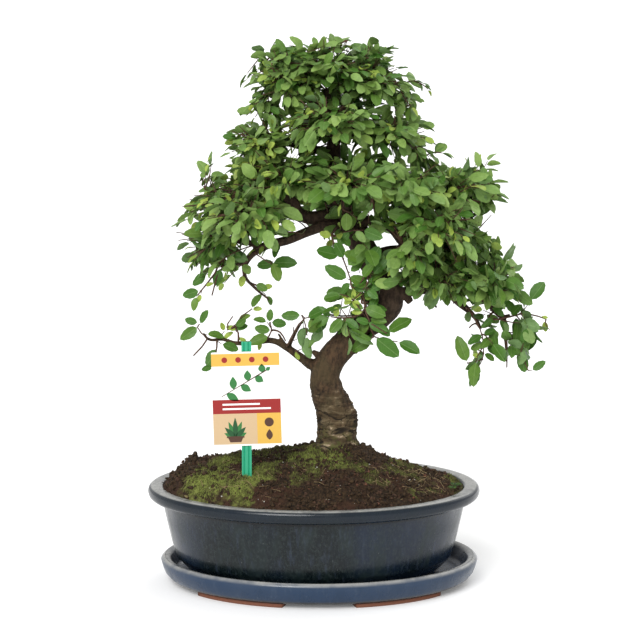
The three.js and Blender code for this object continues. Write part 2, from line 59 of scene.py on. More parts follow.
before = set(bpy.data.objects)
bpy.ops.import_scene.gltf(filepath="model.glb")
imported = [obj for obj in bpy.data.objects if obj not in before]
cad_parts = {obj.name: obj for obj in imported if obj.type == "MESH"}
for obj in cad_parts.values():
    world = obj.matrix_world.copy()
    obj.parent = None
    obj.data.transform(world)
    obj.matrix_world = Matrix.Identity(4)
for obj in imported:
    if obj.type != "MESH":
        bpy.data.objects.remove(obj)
CAD_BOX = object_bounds()
MM = 0.001
BODY = "root"
UP = Vector((0, 0, 1))
CROWN_FLOOR = 0.300  # limbs above this height bear the inner leaves
HIGH_CROWN = 0.400  # sprays above this height have smaller leaves
VIEW_SLOPE = 0.161  # how far a place moves up in the photo's view for each step towards the back
ROUND = 6.28  # a full turn, for random draws
GOLDEN_TURN = 2.39996

# Places that the frame gives
POT_LOW, POT_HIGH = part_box("pot")
SAUCER_LOW, SAUCER_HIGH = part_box("saucer")
SOIL_LOW, SOIL_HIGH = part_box("soil")
CARD_LOW, CARD_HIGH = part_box("label_card")
STAKE_LOW, STAKE_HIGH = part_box("label_stake")
POT_MIDDLE = (POT_LOW + POT_HIGH) / 2
POT_WIDE = (POT_HIGH.x - POT_LOW.x) / 2
OVAL = (POT_HIGH.y - POT_LOW.y) / (POT_HIGH.x - POT_LOW.x)
SAUCER_MIDDLE = (SAUCER_LOW + SAUCER_HIGH) / 2
SAUCER_WIDE = (SAUCER_HIGH.x - SAUCER_LOW.x) / 2


def from_pot(x, y, z):
    """A place given in millimetres from the middle of the pot."""
    return Vector((POT_MIDDLE.x + x * MM, y * MM, z * MM))


CROWN_HEART = from_pot(40, 0, 345)
SPRAYS = sorted(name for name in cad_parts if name.startswith("spray_"))


# Settings

def length(name, description, default, low=0.0, high=5.0):
    return FloatProperty(name=name, description=description, default=default, min=low, max=high,
                         unit="LENGTH", precision=4)


def colour(name, description, default):
    return FloatVectorProperty(name=name, description=description, default=default, size=3,
                               min=0, max=1, subtype="COLOR")


class GlazeSettings(PropertyGroup):
    """Pot and saucer."""

    rounding: length("Rounding", "Radius of the rounded rims", 0.0016)
    dark: colour("Dark glaze", "Main colour of the pot's glaze", (0.0024, 0.0054, 0.0066))
    blue: colour("Blue glaze", "Where the glaze pools blue", (0.0070, 0.0140, 0.0290))
    green: colour("Green glaze", "Where the glaze turns green", (0.0100, 0.0180, 0.0180))
    saucer: colour("Saucer glaze", "Main colour of the saucer's glaze", (0.0270, 0.0460, 0.0760))
    clay: colour("Clay", "Bare clay of the feet", (0.200, 0.078, 0.045))


class SoilSettings(PropertyGroup):
    """Mound, moss and litter."""

    earth: colour("Earth", "Dark potting soil", (0.0120, 0.0078, 0.0048))
    dry: colour("Dry earth", "Crumbs that have dried", (0.0560, 0.0330, 0.0160))
    moss: colour("Moss", "Bright moss", (0.2280, 0.2680, 0.0600))
    old_moss: colour("Old moss", "Moss that has dulled", (0.0560, 0.0500, 0.0180))
    tufts: IntProperty(name="Tufts", description="Number of moss shoots", default=11000, min=0)
    crumbs: IntProperty(name="Crumbs", description="Number of loose crumbs", default=5200, min=0)


class BarkSettings(PropertyGroup):
    """Trunk and limbs."""

    grain: length("Grain", "Size of the mesh that carries the bark's relief", 0.0009)
    relief: length("Relief", "Height of the bark's plates and cracks", 0.0012)
    grey: colour("Grey bark", "Smooth bark of the trunk", (0.0800, 0.0460, 0.0235))
    brown: colour("Brown bark", "Bark in the cracks and on the limbs", (0.0210, 0.0130, 0.0075))
    flake: colour("Flakes", "Light flakes near the foot", (0.3900, 0.3000, 0.2000))


class LeafSettings(PropertyGroup):
    """Foliage."""

    leaf: length("Leaf length", "Length of a grown leaf", 0.0175)
    pitch: length("Leaf pitch", "Distance between the leaves of a twig", 0.0050)
    cover: FloatProperty(name="Cover", description="Leaf area over the area of a spray",
                         default=2.0, min=0.1, max=6)
    green: colour("Green", "Grown leaf", (0.050, 0.138, 0.016))
    light: colour("Light green", "Sunlit leaf", (0.205, 0.325, 0.085))
    young: colour("Young green", "Leaf at a growing tip", (0.360, 0.460, 0.075))
    under: colour("Underside", "Back of a leaf", (0.150, 0.255, 0.095))
    twig: colour("Twig", "Bark of the twigs", (0.060, 0.032, 0.020))


class LabelSettings(PropertyGroup):
    """Card and stake."""

    red: colour("Red ink", "Band of the card", (0.285, 0.016, 0.014))
    yellow: colour("Yellow ink", "Strip of the card", (0.66, 0.40, 0.070))
    stake: colour("Stake", "Plastic of the stake", (0.020, 0.360, 0.190))


class StageSettings(PropertyGroup):
    """Floor, lamps and camera."""

    floor: colour("Floor", "Paper under and behind the plant", (0.90, 0.90, 0.90))
    distance: length("Camera distance", "From the camera to the middle of the view", 2.5)
    rise: FloatProperty(name="Camera height", description="Angle above the horizon",
                        default=math.radians(9.139), subtype="ANGLE")


# Small helpers for numbers and places

def clamp(value):
    return max(0, min(1, value))


def wavy(*place):
    """Smooth noise at a place."""
    return noise.noise(Vector(place))


def hills(x, y, spots):
    """The summed height of smooth hills, each given by its middle, its half sizes and its height."""
    return sum(height * math.exp(-((x - spot_x) / wide) ** 2 - ((y - spot_y) / deep) ** 2)
               for spot_x, spot_y, wide, deep, height in spots)


def shaded(tone, share, base=0):
    """A tone made darker or paler."""
    return tuple(base + share * channel for channel in tone)


def stretched(heading, sizes, unit=1):
    """A heading drawn out to the half sizes of a box."""
    return Vector([heading[i] * sizes[i] * unit for i in range(3)])


def random_vector(draw):
    return Vector((draw.gauss(0, 1), draw.gauss(0, 1), draw.gauss(0, 1)))


def random_turn(draw, lean=math.pi):
    """A turn about a random axis near the level, and about the upright."""
    axis = Vector((draw.uniform(-1, 1), draw.uniform(-1, 1), 0.01)).normalized()
    tilt = Matrix.Rotation(lean * draw.random(), 4, axis)
    return tilt @ Matrix.Rotation(draw.uniform(0, ROUND), 4, UP)


# Small helpers for meshes

def link_object(name, data):
    """An object of that data, in the scene."""
    item = bpy.data.objects.new(name, data)
    bpy.context.scene.collection.objects.link(item)
    return item


def new_piece(name, mesh, materials, replaced=()):
    """An object of that mesh, which rides on the plant's body."""
    piece = link_object(name, mesh)
    for material in materials:
        mesh.materials.append(material)
    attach(piece, BODY)
    for node in replaced:
        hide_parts(node)


def mesh_from(bm, name, smooth=True):
    """The finished mesh of a bmesh, which is freed."""
    mesh = bpy.data.meshes.new(name)
    for face in bm.faces:
        face.smooth = smooth
    bm.to_mesh(mesh)
    bm.free()
    return mesh


def evaluated(name, data, modifiers=()):
    """The mesh that some data gives after its modifiers. The data is freed."""
    maker = link_object(name, data)
    for kind, settings in modifiers:
        modifier = maker.modifiers.new(kind, kind)
        for key, value in settings.items():
            setattr(modifier, key, value)
    graph = bpy.context.evaluated_depsgraph_get()
    mesh = bpy.data.meshes.new_from_object(maker.evaluated_get(graph))
    bpy.data.objects.remove(maker)
    library = bpy.data.curves if isinstance(data, bpy.types.Curve) else bpy.data.meshes
    library.remove(data)
    mesh.name = name
    return mesh


def mark(mesh, name, values):
    """Writes a number for each vertex, which a material reads by that name."""
    mesh.attributes.new(name, "FLOAT", "POINT").data.foreach_set("value", values)


def add_copy(bm, template, matrix):
    """Adds a moved copy of a small mesh."""
    moved = template.copy()
    moved.transform(matrix)
    bm.from_mesh(moved)
    bpy.data.meshes.remove(moved)


def of_kind(kind, items):
    return [item for item in items if isinstance(item, kind)]


def bevel(bm, edges, offset, segments):
    bmesh.ops.bevel(bm, geom=edges, offset=offset, segments=segments, profile=0.5,
                    affect="EDGES", material=-1)


def ring_edges(bm, radius, height, slack=0.0002):
    """Edges that go round a lathed body at that radius and height."""
    def on_ring(vert):
        return (abs(vert.co.z - height) < slack
                and abs(math.hypot(vert.co.x, vert.co.y) - radius) < slack)
    return [edge for edge in bm.edges if all(on_ring(vert) for vert in edge.verts)]


def lathe(profile, steps, rounded=(), rounding=0.0015):
    """A round closed body from a profile of radii and heights in metres, with some rings rounded."""
    bm = bmesh.new()
    verts = [bm.verts.new((radius, 0, height)) for radius, height in profile]
    edges = [bm.edges.new(pair) for pair in zip(verts, verts[1:])]
    bmesh.ops.spin(bm, geom=verts + edges, cent=(0, 0, 0), axis=UP, angle=2 * math.pi,
                   steps=steps, use_merge=True, use_duplicate=False)
    bmesh.ops.remove_doubles(bm, verts=bm.verts, dist=1e-6)
    edges = [edge for index in rounded for edge in ring_edges(bm, *profile[index])]
    if edges:
        bevel(bm, edges, rounding, 3)
    bmesh.ops.recalc_face_normals(bm, faces=bm.faces)
    return bm


def make_oval(bm, middle):
    """Squeezes a round body to the pot's oval and puts it in place."""
    bmesh.ops.transform(bm, matrix=Matrix.Diagonal((1, OVAL, 1, 1)), verts=bm.verts)
    bmesh.ops.translate(bm, vec=(middle.x, middle.y, 0), verts=bm.verts)


# Small helpers for materials

class Finish:
    """A material under construction: one Principled shader, and a tone that is painted over."""

    def __init__(self, name, tone=None, **constants):
        self.material = bpy.data.materials.new(name)
        self.material.use_nodes = True
        self.tree = self.material.node_tree
        self.surface = self.tree.nodes["Principled BSDF"]
        for socket, value in constants.items():
            self.surface.inputs[socket.replace("_", " ")].default_value = value
        self.place = self.add("ShaderNodeTexCoord").outputs["Object"]
        self.tone = tone

    def add(self, kind, **properties):
        node = self.tree.nodes.new(kind)
        for name, value in properties.items():
            setattr(node, name, value)
        return node

    def link(self, value, socket):
        """Links an output to a socket, or sets the socket to a plain value."""
        if isinstance(value, bpy.types.NodeSocket):
            self.tree.links.new(value, socket)
        elif hasattr(value, "__len__"):
            items = tuple(value)
            wide = socket.type == "RGBA" and len(items) == 3
            socket.default_value = items + (1,) if wide else items
        else:
            socket.default_value = value

    def math(self, operation, first, second=0.0):
        node = self.add("ShaderNodeMath", operation=operation)
        self.link(first, node.inputs[0])
        self.link(second, node.inputs[1])
        return node.outputs[0]

    def times(self, first, second):
        return self.math("MULTIPLY", first, second)

    def mix(self, share, first, second):
        node = self.add("ShaderNodeMix", data_type="RGBA", blend_type="MIX")
        for socket, value in (("Factor", share), ("A", first), ("B", second)):
            self.link(value, node.inputs[socket])
        return next(out for out in node.outputs if out.type == "RGBA")

    def spread(self, value, low, high, new_low=0.0, new_high=1.0):
        """Stretches a value from low..high to new_low..new_high, clamped."""
        node = self.add("ShaderNodeMapRange", interpolation_type="SMOOTHSTEP")
        self.link(value, node.inputs["Value"])
        for socket, number in (("From Min", low), ("From Max", high), ("To Min", new_low),
                               ("To Max", new_high)):
            node.inputs[socket].default_value = number
        return node.outputs["Result"]

    def paint(self, colour, value, low=None, high=None, most=1.0):
        """Lays a colour over the tone, by a value or as the value goes from low to high."""
        share = value if low is None else self.spread(value, low, high, 0, most)
        self.tone = self.mix(share, self.tone, colour)

    def attribute(self, name):
        return self.add("ShaderNodeAttribute", attribute_name=name).outputs["Fac"]

    def height(self):
        """Height above the ground, in metres."""
        node = self.add("ShaderNodeSeparateXYZ")
        self.link(self.place, node.inputs[0])
        return node.outputs["Z"]

    def pattern(self, build, **values):
        """The outputs of a shared node group over the object."""
        node = self.add("ShaderNodeGroup", node_tree=shared_group(build))
        for socket, value in (("Place", self.place), *values.items()):
            self.link(value, node.inputs[socket])
        return node.outputs

    def grain(self, scale, detail=4.0, stretch=(1.0, 1.0, 1.0)):
        """Layered grain, with the outputs Grain and Patches."""
        return self.pattern(layered_grain, Scale=scale, Detail=detail, Stretch=stretch)

    def dots(self, scale, size):
        return self.pattern(scattered_dots, Scale=scale, Size=size)["Dots"]

    def wear(self, socket, value):
        self.link(value, self.surface.inputs[socket])

    def done(self, relief, strength, distance):
        """The material, with its tone and its relief in place."""
        self.wear("Base Color", self.tone)
        node = self.add("ShaderNodeBump")
        node.inputs["Strength"].default_value = strength
        node.inputs["Distance"].default_value = distance
        self.link(relief, node.inputs["Height"])
        self.wear("Normal", node.outputs["Normal"])
        return self.material


def shared_group(build):
    """The node group that a function builds, made when it is first asked for."""
    name = build.__name__
    return bpy.data.node_groups.get(name) or build(name)


def new_group(name, inputs, outputs):
    """An empty shader node group with float inputs, beside the place that its pattern reads."""
    tree = bpy.data.node_groups.new(name, "ShaderNodeTree")
    tree.interface.new_socket("Place", in_out="INPUT", socket_type="NodeSocketVector")
    for label, default in inputs.items():
        kind = "NodeSocketVector" if isinstance(default, tuple) else "NodeSocketFloat"
        tree.interface.new_socket(label, in_out="INPUT", socket_type=kind).default_value = default
    for label in outputs:
        tree.interface.new_socket(label, in_out="OUTPUT", socket_type="NodeSocketFloat")
    source = tree.nodes.new("NodeGroupInput").outputs
    return tree, source, tree.nodes.new("NodeGroupOutput").inputs


def math_node(tree, kind, operation):
    node = tree.nodes.new(kind)
    node.operation = operation
    return node


def layered_grain(name):
    """A stretched fine noise, and broad patches over it."""
    tree, source, result = new_group(
        name, {"Stretch": (1.0, 1.0, 1.0), "Scale": 100.0, "Detail": 4.0}, ("Grain", "Patches"))
    stretch = math_node(tree, "ShaderNodeVectorMath", "MULTIPLY")
    broad = math_node(tree, "ShaderNodeMath", "MULTIPLY")
    broad.inputs[1].default_value = 0.22
    grain = tree.nodes.new("ShaderNodeTexNoise")
    grain.inputs["Roughness"].default_value = 0.6
    patches = tree.nodes.new("ShaderNodeTexNoise")
    patches.inputs["Detail"].default_value = 3
    for output, socket in (
            (source["Place"], stretch.inputs[0]), (source["Stretch"], stretch.inputs[1]),
            (source["Scale"], broad.inputs[0]), (source["Scale"], grain.inputs["Scale"]),
            (source["Detail"], grain.inputs["Detail"]), (broad.outputs[0], patches.inputs["Scale"]),
            (stretch.outputs[0], grain.inputs["Vector"]), (stretch.outputs[0], patches.inputs["Vector"]),
            (grain.outputs["Fac"], result["Grain"]), (patches.outputs["Fac"], result["Patches"])):
        tree.links.new(output, socket)
    return tree


def scattered_dots(name):
    """Scattered dots: 1 inside a dot and 0 outside."""
    tree, source, result = new_group(name, {"Scale": 200.0, "Size": 0.12}, ("Dots",))
    cells = tree.nodes.new("ShaderNodeTexVoronoi")
    smaller = math_node(tree, "ShaderNodeMath", "LESS_THAN")
    for output, socket in (
            (source["Place"], cells.inputs["Vector"]), (source["Scale"], cells.inputs["Scale"]),
            (cells.outputs["Distance"], smaller.inputs[0]), (source["Size"], smaller.inputs[1]),
            (smaller.outputs[0], result["Dots"])):
        tree.links.new(output, socket)
    return tree


def plain_finish(name, first, second, scale, roughness, depth=0.0004):
    """A small piece's finish: two tones in a grain, with a light relief."""
    finish = Finish(name, first, Roughness=roughness, Specular_IOR_Level=0.25)
    grain = finish.grain(scale)["Grain"]
    finish.paint(second, grain, 0.35, 0.65)
    return finish.done(grain, 0.5, depth)


def even_finish(name, tones, grain_sizes, relief, **constants):
    """A smooth finish: two near tones in a fine grain, with a faint relief."""
    finish = Finish(name, tones[0], **constants)
    grain = finish.grain(*grain_sizes)["Grain"]
    finish.paint(tones[1], grain)
    return finish.done(grain, *relief)


# Pot and saucer

# Lighter tone of the rim's lip: partly worn glaze, partly a painted highlight where the glossy lip would
# reflect the bright room.
LIP_WEAR_AND_SHEEN_TONE = (0.31, 0.31, 0.295)
SPECK_TONE = (0.35, 0.37, 0.36)
LOW_WALL_TONE = (0.026, 0.024, 0.024)
# Near black painted shade, in a band just below where the rim's tone starts.
PAINTED_SHADE_TONE = (0.0025, 0.003, 0.004)


def glaze_finish(name, tones, clay, clay_below, edge_high, shoulder, rim_low, rim_tone):
    """Dark runny glaze over clay, which stays bare below a height, with a bluer rim and a lip that is
    lighter, partly from worn glaze and partly from a painted highlight.
    """
    main, pooled, third = tones
    finish = Finish(name, main, IOR=1.39)
    height = finish.height()
    runs = finish.grain(60.0, 8.0, (1.0, 1.0, 0.45))
    fine = finish.grain(520.0, 4.0, (1.0, 1.0, 0.6))["Grain"]
    streaks = finish.grain(150.0, 7.0, (1.5, 1.5, 0.25))["Grain"]
    finish.paint(pooled, runs["Patches"], 0.40, 0.66)
    finish.paint(third, runs["Grain"], 0.44, 0.72, 0.8)
    finish.paint(shaded(third, 1.6, 0.02), fine, 0.45, 0.75, 0.45)
    finish.paint(shaded(pooled, 1.9, 0.02), streaks, 0.52, 0.74, 0.4)
    # A greyer band low on the wall, just above the bare clay.
    finish.paint(LOW_WALL_TONE, height, clay_below + 0.0065, clay_below + 0.0015, 0.65)
    finish.paint(rim_tone, height, rim_low + 0.0002, rim_low + 0.0026, 0.8)
    # Painted shade: a dark band under the pot's overhanging rim, and where the saucer's wall turns under.
    shade_band = finish.times(finish.spread(height, rim_low - 0.0042, rim_low - 0.0018),
                        finish.spread(height, rim_low + 0.0008, rim_low))
    finish.paint(PAINTED_SHADE_TONE, finish.times(shade_band, 0.85))
    # The lip is painted lighter in patches: partly worn glaze, partly a painted highlight.
    lip_wear_and_sheen = finish.spread(runs["Grain"], 0.30, 0.60, 0.45, 0.95)
    lip = finish.spread(height, edge_high - shoulder, edge_high - 0.0004)
    finish.paint(LIP_WEAR_AND_SHEEN_TONE, finish.times(lip, lip_wear_and_sheen))
    finish.paint(SPECK_TONE, finish.times(finish.dots(110.0, 0.040), 0.30))
    bare = finish.spread(height, clay_below, clay_below - 0.0006)
    finish.paint(finish.mix(fine, shaded(clay, 0.75), clay), bare)
    rough = finish.add("ShaderNodeMix", data_type="FLOAT")
    gloss = finish.spread(runs["Grain"], 0.3, 0.7, 0.16, 0.34)
    for socket, value in (("Factor", bare), ("A", gloss), ("B", 0.85)):
        finish.link(value, rough.inputs[socket])
    finish.wear("Roughness", rough.outputs["Result"])
    waves = finish.math("ADD", runs["Patches"], finish.times(fine, 0.10))
    return finish.done(waves, 0.35, 0.0008)


def feet(bm, outer, width, bottom, top, front_gap, side_gap):
    """Four feet: arcs of a ring that two crossing channels leave."""
    begin = math.asin(side_gap / 2 / (outer * OVAL))
    end = math.acos(front_gap / 2 / outer)
    edge = 0.0008
    for quarter in range(4):
        start = quarter * math.pi / 2 + (math.pi / 2 - end if quarter % 2 else begin)
        section = [bm.verts.new((math.cos(start) * radius, math.sin(start) * radius, height))
                   for radius, height in ((outer - width, bottom), (outer - edge, bottom),
                                          (outer, bottom + edge), (outer, top), (outer - width, top))]
        face = bm.faces.new(section)
        bmesh.ops.spin(bm, geom=[face, *face.edges, *section], cent=(0, 0, 0), axis=UP,
                       angle=end - begin, steps=14, use_duplicate=False)
    bmesh.ops.recalc_face_normals(bm, faces=bm.faces)


def glazed_dish(node, profile, rounded, rounding, foot_sizes, middle, material):
    """An oval dish on feet, which takes the place of the packed one."""
    bm = lathe(profile, 160, rounded, rounding)
    feet(bm, *foot_sizes)
    make_oval(bm, middle)
    name = node + "_glazed"
    new_piece(name, mesh_from(bm, name), [material], [node])


class BONSAI_OT_pot(Operator):
    """Turns the glazed pot on the wheel and sets it on four feet"""

    bl_idname = "bonsai.pot"
    bl_label = "Pot"

    def execute(self, context):
        glaze = context.scene.bonsai_glaze
        under = POT_LOW.z + 4 * MM
        floor = under + 6 * MM
        rim, wide = POT_HIGH.z, POT_WIDE
        profile = [
            (0, under), (0.1080, under), (0.1210, under + 0.0040), (0.1295, under + 0.0130),
            (0.1335, 0.040), (0.1385, 0.062), (0.1420, 0.0788), (0.1436, 0.0804),
            (wide - 0.0040, 0.0808), (wide - 0.0008, 0.0834), (wide, 0.0870),
            (wide - 0.0006, rim - 0.0022), (wide - 0.0038, rim), (0.1425, rim - 0.0002),
            (0.1395, rim - 0.0030), (0.1338, 0.068), (0.1280, 0.047), (0.1130, floor), (0, floor)]
        material = glaze_finish("pot_glaze", (glaze.dark, glaze.blue, glaze.green), glaze.clay, under,
                                rim, 0.0014, 0.0806, (0.0035, 0.0085, 0.0150))
        foot_sizes = (0.105, 0.015, POT_LOW.z, under + MM, 0.060, 0.090)
        glazed_dish("pot", profile, (2, 3, 8, 9, 11, 12, 13), glaze.rounding, foot_sizes, POT_MIDDLE,
                    material)
        return {"FINISHED"}


class BONSAI_OT_saucer(Operator):
    """Turns the glazed saucer on its clay feet"""

    bl_idname = "bonsai.saucer"
    bl_label = "Saucer"

    def execute(self, context):
        glaze = context.scene.bonsai_glaze
        under = SAUCER_LOW.z + 4 * MM
        floor = under + 5 * MM
        rim, wide = SAUCER_HIGH.z, SAUCER_WIDE
        profile = [
            (0, under), (wide - 0.0125, under), (wide - 0.0078, under + 0.0020),
            (wide - 0.0036, under + 0.0070), (wide - 0.0014, under + 0.0125), (wide, rim - 0.0036),
            (wide - 0.0022, rim - 0.0006), (wide - 0.0052, rim), (wide - 0.0090, rim - 0.0016),
            (wide - 0.0132, floor + 0.0026), (wide - 0.0172, floor), (0, floor)]
        material = glaze_finish("saucer_glaze", (glaze.saucer, (0.085, 0.100, 0.115), glaze.green),
                                glaze.clay, under, rim, 0.0042, 0.0060, (0.012, 0.032, 0.074))
        foot_sizes = (wide - 0.013, 0.015, SAUCER_LOW.z, under + MM, 0.068, 0.120)
        glazed_dish("saucer", profile, (2, 6, 7, 8, 9), glaze.rounding, foot_sizes, SAUCER_MIDDLE,
                    material)
        return {"FINISHED"}


class BONSAI_OT_drain_mesh(Operator):
    """Gives the nets over the drainage holes their plastic"""

    bl_idname = "bonsai.drain_mesh"
    bl_label = "Drainage nets"

    def execute(self, context):
        plastic = even_finish("net_plastic", ((0.012, 0.012, 0.013), (0.030, 0.031, 0.033)),
                              (900.0,), (0.2, 0.0002), Roughness=0.6)
        for side in ("left", "right"):
            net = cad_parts["drain_mesh_" + side]
            net.data.materials.clear()
            net.data.materials.append(plastic)
        return {"FINISHED"}


# Soil, moss and litter

SOIL_EDGE = 90.0
SOIL_WIDE = (SOIL_HIGH.x - SOIL_LOW.x) / 2 / MM
SOIL_INSIDE = 139.5
TRUNK_FOOT = Vector((22, 0))
# Middle, half sizes and height of smooth hills, from the pot's middle
MOSSY_SPOTS = ((-78, -66, 46, 34, 0.72), (8, -26, 26, 18, 0.6), (74, -8, 30, 40, 0.5),
               (5, -38, 62, 26, 0.35), (-42, 8, 48, 34, 0.5), (15, -92, 70, 22, -0.75),
               (-66, -36, 10, 10, -1))
FRESH_SPOTS = ((-80, -60, 50, 45, 0.70), (5, -30, 34, 26, 0.6))
HEAPS = ((51, 2, 8, 16, 5), (37, -21, 12, 8, 5.5), (-112, 8, 12, 26, 5))
HOLLOWS = ((-76, 34, 50, 45, 5), (84, 26, 36, 40, 2.4))


def inside(x, y):
    """How far a place lies inside the soil's edge, from 1 in the middle to 0."""
    return max(0, 1 - (x / SOIL_INSIDE) ** 2 - (y / (SOIL_INSIDE * OVAL)) ** 2)


def mound(x, y):
    """Height of the mound in millimetres, at a place from the pot's middle."""
    share = inside(x, y)
    foot_swell = 7 * math.exp(-((x - 24) ** 2 + 1.2 * y ** 2) / 26 ** 2)
    uneven = 1.3 * math.sin(x / 15 + 0.6) * math.cos(y / 12 + 0.4) * min(1, 4 * share)
    return SOIL_EDGE + 36 * share ** 0.75 - 0.045 * x * math.sqrt(share) + foot_swell + uneven


def mossy(x, y):
    """How much moss grows at a place, from 0 to 1."""
    patches = wavy(x / 30, y / 26, 4.2) + 0.5 * wavy(x / 11, y / 9, 1.7)
    return clamp(0.26 + 0.9 * patches + hills(x, y, MOSSY_SPOTS))


def fresh(x, y):
    """How bright the moss is at a place, from 0 to 1."""
    patchy = 0.6 * wavy(x / 14, y / 14, 8.8) + 0.6 * wavy(x / 6, y / 3, 2.8)
    return clamp(0.12 + hills(x, y, FRESH_SPOTS) + patchy)


def rough_mound(x, y):
    """The mound with its lumps, crumbs and moss cushions."""
    place = Vector((x, y, 0))
    lumps = 2.6 * noise.noise(place / 19) + 2.4 * noise.noise(place / 8.5 + Vector((3, 9, 2)))
    grit = 2.4 * abs(noise.noise(place / 5)) + 1.6 * noise.noise(place / 3.1)
    grit += 0.9 * noise.noise(place / 1.8)
    hollow = 4.0 * math.exp(-((abs(x - 24) - 58) / 38) ** 2) + hills(x, y, HOLLOWS)
    clods = 0.4 + 1.5 * abs(noise.noise(place / 4.2)) + 0.5 * noise.noise(place / 2.2)
    clods *= hills(x, y, HEAPS)
    edge = min(1, 6 * inside(x, y))
    banked = 2.4 * math.exp(-((x + 135) / 55) ** 2)
    moss = mossy(x, y)
    uneven = (lumps + grit) * (1 - 0.45 * moss) + 1.4 * moss - hollow
    return mound(x, y) + banked + uneven * (0.3 + 0.7 * edge) + clods * edge


def on_mound(x, y, above=0.0):
    """The place on the rough mound under x and y, or so many millimetres above it."""
    return from_pot(x, y, rough_mound(x, y) + above)


def soil_finish(soil):
    finish = Finish("soil", soil.earth, Roughness=0.93, Specular_IOR_Level=0.2)
    crumbs = finish.grain(330.0, 8.0)["Grain"]
    broad = finish.grain(90.0, 5.0)
    finish.paint(soil.dry, crumbs, 0.35, 0.72)
    finish.paint((0.052, 0.022, 0.014), broad["Patches"], 0.45, 0.65, 0.6)
    bright = finish.times(finish.attribute("fresh"), finish.spread(crumbs, 0.30, 0.60))
    cover = finish.times(finish.attribute("moss"), finish.spread(broad["Grain"], 0.34, 0.60, 0.25, 1.0))
    finish.paint(finish.mix(bright, soil.old_moss, soil.moss), cover, 0.22, 0.62, 0.9)
    finish.paint((0.30, 0.25, 0.17), finish.times(finish.dots(95.0, 0.07), 0.5))
    return finish.done(crumbs, 0.9, 0.0016)


def lump_template(name, seed, jag):
    """A small rough lump of unit size."""
    bm = bmesh.new()
    bmesh.ops.create_icosphere(bm, subdivisions=1, radius=0.5)
    draw = random.Random(seed)
    for vert in bm.verts:
        vert.co *= 1 + jag * (draw.random() - 0.5)
    return mesh_from(bm, name, smooth=False)


def shoot_template(name):
    """A moss shoot of unit height: a slim cone of three sides."""
    bm = bmesh.new()
    bmesh.ops.create_cone(bm, cap_ends=True, segments=3, radius1=0.17, radius2=0, depth=1,
                          matrix=Matrix.Translation((0, 0, 0.5)))
    return mesh_from(bm, name)


def scatter_place(draw):
    """A random place on the mound, in millimetres from the pot's middle."""
    while True:
        x, y = draw.uniform(-1, 1), draw.uniform(-1, 1)
        if x * x + y * y < 0.985:
            x, y = x * SOIL_WIDE, y * SOIL_WIDE * OVAL
            if (Vector((x, y)) - TRUNK_FOOT).length > 17:
                return x, y


